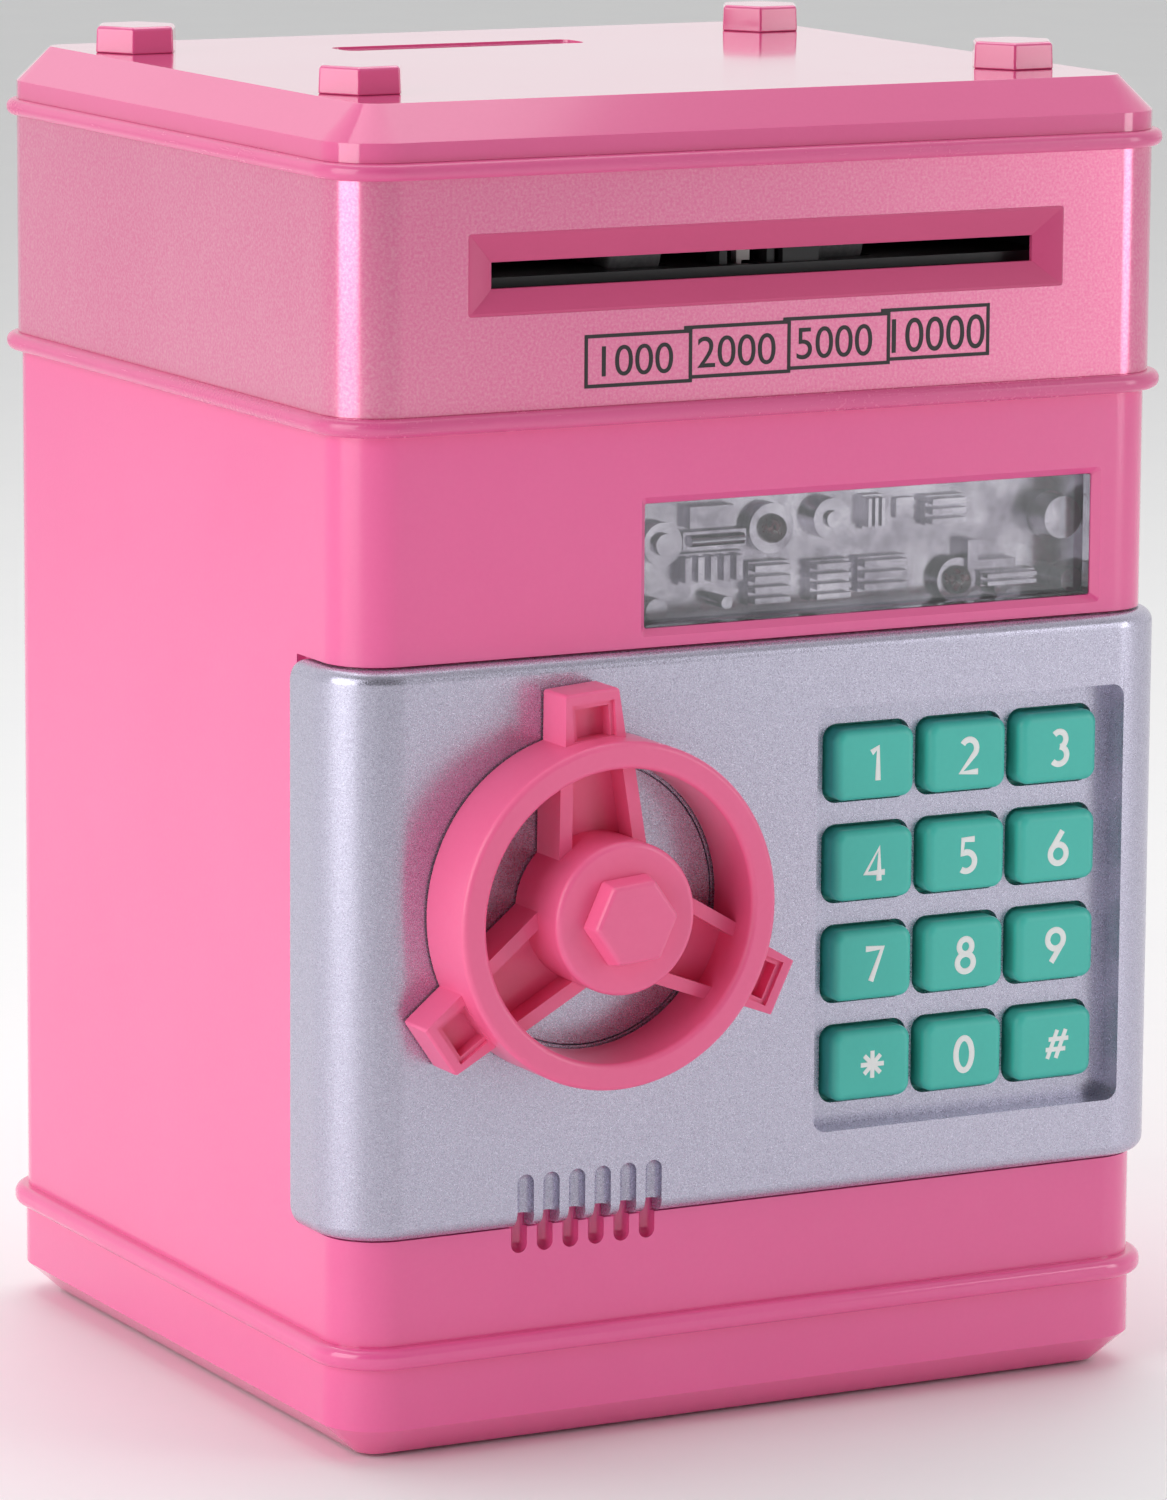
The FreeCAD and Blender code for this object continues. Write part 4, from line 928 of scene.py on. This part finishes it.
@dataclass
class PrintedRow(SubAssembly):
    """The row of framed amounts under the note slot."""

    amounts: tuple[Amount, ...] = (
        Amount("1000", 2.7, 13.9, 1.5, 5.8), Amount("2000", 17.8, 30.2, 1.9, 6.3),
        Amount("5000", 33.6, 45.8, 2.3, 6.8), Amount("10000", 49.0, 64.2, 2.4, 7.3),
    )
    proud: float = 0.05 * MM

    def build(self) -> None:
        """Ink the frames and set the numerals inside them."""
        self.shop.dress("amount_print")
        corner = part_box("amount_print")[0]
        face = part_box("head_shell")[0].y
        for amount in self.amounts:
            self.numeral(amount, corner, face)

    def numeral(self, amount: Amount, corner: Vector, face: float) -> None:
        """Set one amount as a thin mesh on the head's front face."""
        letters = bpy.data.curves.new("amount_" + amount.text, "FONT")
        letters.body = amount.text
        letters.extrude = 0.5
        letters.resolution_u = 8
        holder = bpy.data.objects.new("amount_" + amount.text, letters)
        bpy.context.scene.collection.objects.link(holder)
        made = Workshop.plain(holder, "amount_" + amount.text)
        xs = [v.co.x for v in made.data.vertices]
        ys = [v.co.y for v in made.data.vertices]
        wide = (amount.right - amount.left) * MM / (max(xs) - min(xs))
        tall = (amount.high - amount.low) * MM / (max(ys) - min(ys))
        made.data.transform(Matrix.Translation((-min(xs), -min(ys), 0.0)))
        made.data.transform(Matrix.Diagonal((wide, tall, self.proud * 2, 1.0)))
        made.data.transform(Matrix.Rotation(math.radians(90), 4, "X"))
        spot = (corner.x + amount.left * MM, face, corner.z + amount.low * MM)
        made.data.transform(Matrix.Translation(spot))
        self.shop.fit(made, BLACK_INK, "safe_case", Slot.PRINT)


@dataclass
class Window(SubAssembly):
    """The clear window with its chrome show panel and two lamps."""

    def build(self) -> None:
        """Dress the lens and lamps, and soften the panel's mouldings."""
        self.shop.dress("window_lens")
        self.shop.soften("window_panel", 0.15 * MM)
        self.shop.dress("led_pair")
        self.shop.dress("panel_board")


@dataclass
class Door(SubAssembly):
    """The silver door with the tray, board, lock and screws inside it."""

    edge: float = 0.3 * MM

    def build(self) -> None:
        """Soften the visible shells and dress the works."""
        self.shop.soften("door_skin", self.edge)
        self.shop.soften("wheel_plate", 0.15 * MM)
        self.shop.soften("door_cover", 0.3 * MM, PINK_CASE)
        for node in ("lock_frame", "solenoid_coil", "solenoid_plunger", "latch_bolt"):
            self.shop.dress(node)


@dataclass
class Handwheel(SubAssembly):
    """The three-spoked wheel, its hexagon cap and its shaft."""

    edge: float = 0.45 * MM

    def build(self) -> None:
        """Soften the wheel and its cap."""
        self.shop.soften("handwheel", self.edge)
        self.shop.soften("wheel_cap", 0.35 * MM)
        self.shop.dress("latch_shaft")


@dataclass(frozen=True)
class ScrewGroup:
    """One node of like screws: which way the heads look, and the head's and shaft's sizes in millimetres."""

    node: str
    axis: int
    sign: int
    head_height: float
    shaft_radius: float

    def facing(self) -> tuple[float, float, float]:
        """The turn that carries +Z to the way that the heads look."""
        if self.axis == 2:
            return (math.pi if self.sign < 0 else 0.0, 0.0, 0.0)
        return (math.pi / 2 * -self.sign, 0.0, 0.0)


@dataclass
class Fasteners(SubAssembly):
    """All the cross-recessed screws."""

    groups: tuple[ScrewGroup, ...] = (
        ScrewGroup("base_screws", 2, -1, 1.8, 1.2),
        ScrewGroup("cover_screws", 1, 1, 1.0, 1.1),
        ScrewGroup("board_screws", 1, -1, 1.2, 1.1),
        ScrewGroup("battery_screw", 2, -1, 0.9, 1.1),
    )

    def build(self) -> None:
        """Stand a drawn screw in the place of each CAD screw."""
        maker = PanScrews()
        for seed, group in enumerate(self.groups, 3):
            self.place(maker, group, seed)

    def place(self, maker: PanScrews, group: ScrewGroup, seed: int) -> None:
        """Draw one group of screws.

        Args:
            maker: The screw recipe.
            group: Which screws, and their sizes.
            seed: Seed of the slots' random turn.
        """
        solids = self.shop.islands(group.node)
        low, high = solids[0]
        radius = (high.x - low.x) / 2 / MM
        length = (high[group.axis] - low[group.axis]) / MM - group.head_height
        places = []
        for low, high in solids:
            spot = (low + high) / 2
            tip = high[group.axis] if group.sign > 0 else low[group.axis]
            spot[group.axis] = tip - group.sign * group.head_height * MM
            places.append(spot)
        name = group.node + "_drawn"
        made = maker.set(name, places, group.facing(), radius, group.head_height,
                         group.shaft_radius, length, seed)
        self.shop.fit(made, ZINC, self.shop.bodies[group.node], self.shop.slots[group.node], group.node)


@dataclass
class Works(SubAssembly):
    """Everything inside: feeder, boards, speaker, cells and small hardware."""

    def build(self) -> None:
        """Dress every node that no other group has taken."""
        for node in sorted(self.shop.nodes):
            if node not in self.shop.done:
                self.shop.dress(node)


# ---------------------------------------------------------------- studio


@dataclass
class Lamp:
    """One soft rectangular light aimed at a point."""

    name: str
    place: Colour
    aim: Colour
    size: tuple[float, float]
    power: float
    tint: Colour = (1.0, 1.0, 1.0)

    def build(self) -> None:
        """Add the light."""
        data = bpy.data.lights.new(self.name, "AREA")
        data.shape = "RECTANGLE"
        data.size, data.size_y = self.size
        data.energy = self.power
        data.color = self.tint
        made = bpy.data.objects.new(self.name, data)
        made.location = self.place
        made.rotation_euler = (Vector(self.aim) - Vector(self.place)).to_track_quat("-Z", "Y").to_euler()
        bpy.context.scene.collection.objects.link(made)


@dataclass
class Studio:
    """Camera, floor, sky and lights."""

    eye: Colour = (-0.495376, -0.938134, 0.278473)
    yaw: float = 0.484068
    pitch: float = 0.176498
    roll: float = 0.006440
    lens: float = 175.03
    dim: float = 0.0
    bright: float = 0.85
    dim_at: float = -0.90
    bright_at: float = 0.35
    lamps: tuple[Lamp, ...] = field(default_factory=lambda: (
        Lamp("left_softbox", (-1.1, -0.25, 0.45), (0.0, 0.0, 0.09), (0.9, 0.9), 8.0),
        Lamp("top_softbox", (0.1, 0.25, 1.1), (0.0, 0.0, 0.1), (1.0, 1.0), 5.0),
        Lamp("right_softbox", (0.85, -0.9, 0.35), (0.0, 0.0, 0.1), (0.4, 0.8), 3.2),
    ))

    def camera(self) -> None:
        """Stand the camera at the three-quarter view."""
        ahead = Vector((math.sin(self.yaw) * math.cos(self.pitch), math.cos(self.yaw) * math.cos(self.pitch),
                        -math.sin(self.pitch)))
        right = Vector((math.cos(self.yaw), -math.sin(self.yaw), 0.0))
        up = right.cross(ahead)
        across = right * math.cos(self.roll) + up * math.sin(self.roll)
        above = up * math.cos(self.roll) - right * math.sin(self.roll)
        data = bpy.data.cameras.new("camera")
        data.lens = self.lens
        data.sensor_width = 36.0
        data.clip_start, data.clip_end = 0.05, 20.0
        made = bpy.data.objects.new("camera", data)
        turn = Matrix((across, above, -ahead)).transposed().to_4x4()
        made.matrix_world = Matrix.Translation(self.eye) @ turn
        bpy.context.scene.collection.objects.link(made)
        bpy.context.scene.camera = made

    def floor(self) -> None:
        """Lay a plain pale floor."""
        shape = bmesh.new()
        bmesh.ops.create_grid(shape, x_segments=2, y_segments=2, size=3.0)
        mesh = bpy.data.meshes.new("studio_floor")
        shape.to_mesh(mesh)
        shape.free()
        mesh.materials.append(MouldedPlastic("floor_white", (0.93, 0.93, 0.93), (0.90, 0.90, 0.91), 0.6,
                                             grain=300.0, scuffs=0.0).material())
        Workshop.link(mesh, "studio_floor")

    def sky(self) -> None:
        """Light the room: bright behind the model, dim in front, and white where it is seen directly."""
        world = bpy.data.worlds.new("studio")
        world.use_nodes = True
        nodes, links = world.node_tree.nodes, world.node_tree.links
        back = nodes["Background"]
        spot = nodes.new("ShaderNodeTexCoord")
        facing = nodes.new("ShaderNodeVectorMath")
        facing.operation = "DOT_PRODUCT"
        facing.inputs[1].default_value = (math.sin(self.yaw), math.cos(self.yaw), 0.0)
        light = nodes.new("ShaderNodeMapRange")
        light.inputs["From Min"].default_value = self.dim_at
        light.inputs["From Max"].default_value = self.bright_at
        light.inputs["To Min"].default_value = self.dim
        light.inputs["To Max"].default_value = self.bright
        ray = nodes.new("ShaderNodeLightPath")
        seen = nodes.new("ShaderNodeMix")
        seen.inputs["B"].default_value = 1.0
        links.new(spot.outputs["Generated"], facing.inputs[0])
        links.new(facing.outputs["Value"], light.inputs["Value"])
        links.new(light.outputs["Result"], seen.inputs["A"])
        links.new(ray.outputs["Is Camera Ray"], seen.inputs["Factor"])
        links.new(seen.outputs["Result"], back.inputs["Strength"])
        back.inputs["Color"].default_value = (1.0, 1.0, 1.0, 1.0)
        bpy.context.scene.world = world
        bpy.context.scene.view_settings.view_transform = "Standard"

    def build(self) -> None:
        """Set up the whole studio."""
        self.camera()
        self.floor()
        self.sky()
        for lamp in self.lamps:
            lamp.build()


def main() -> None:
    logging.basicConfig(level=logging.INFO, format="%(message)s")
    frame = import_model()
    Studio().build()
    shop = Workshop(frame)
    for group in (Case, Keypad, PrintedRow, Window, Door, Handwheel, Fasteners, Works):
        LOG.info("building %s", group.__name__)
        group(shop).build()


if __name__ == "__main__":
    main()
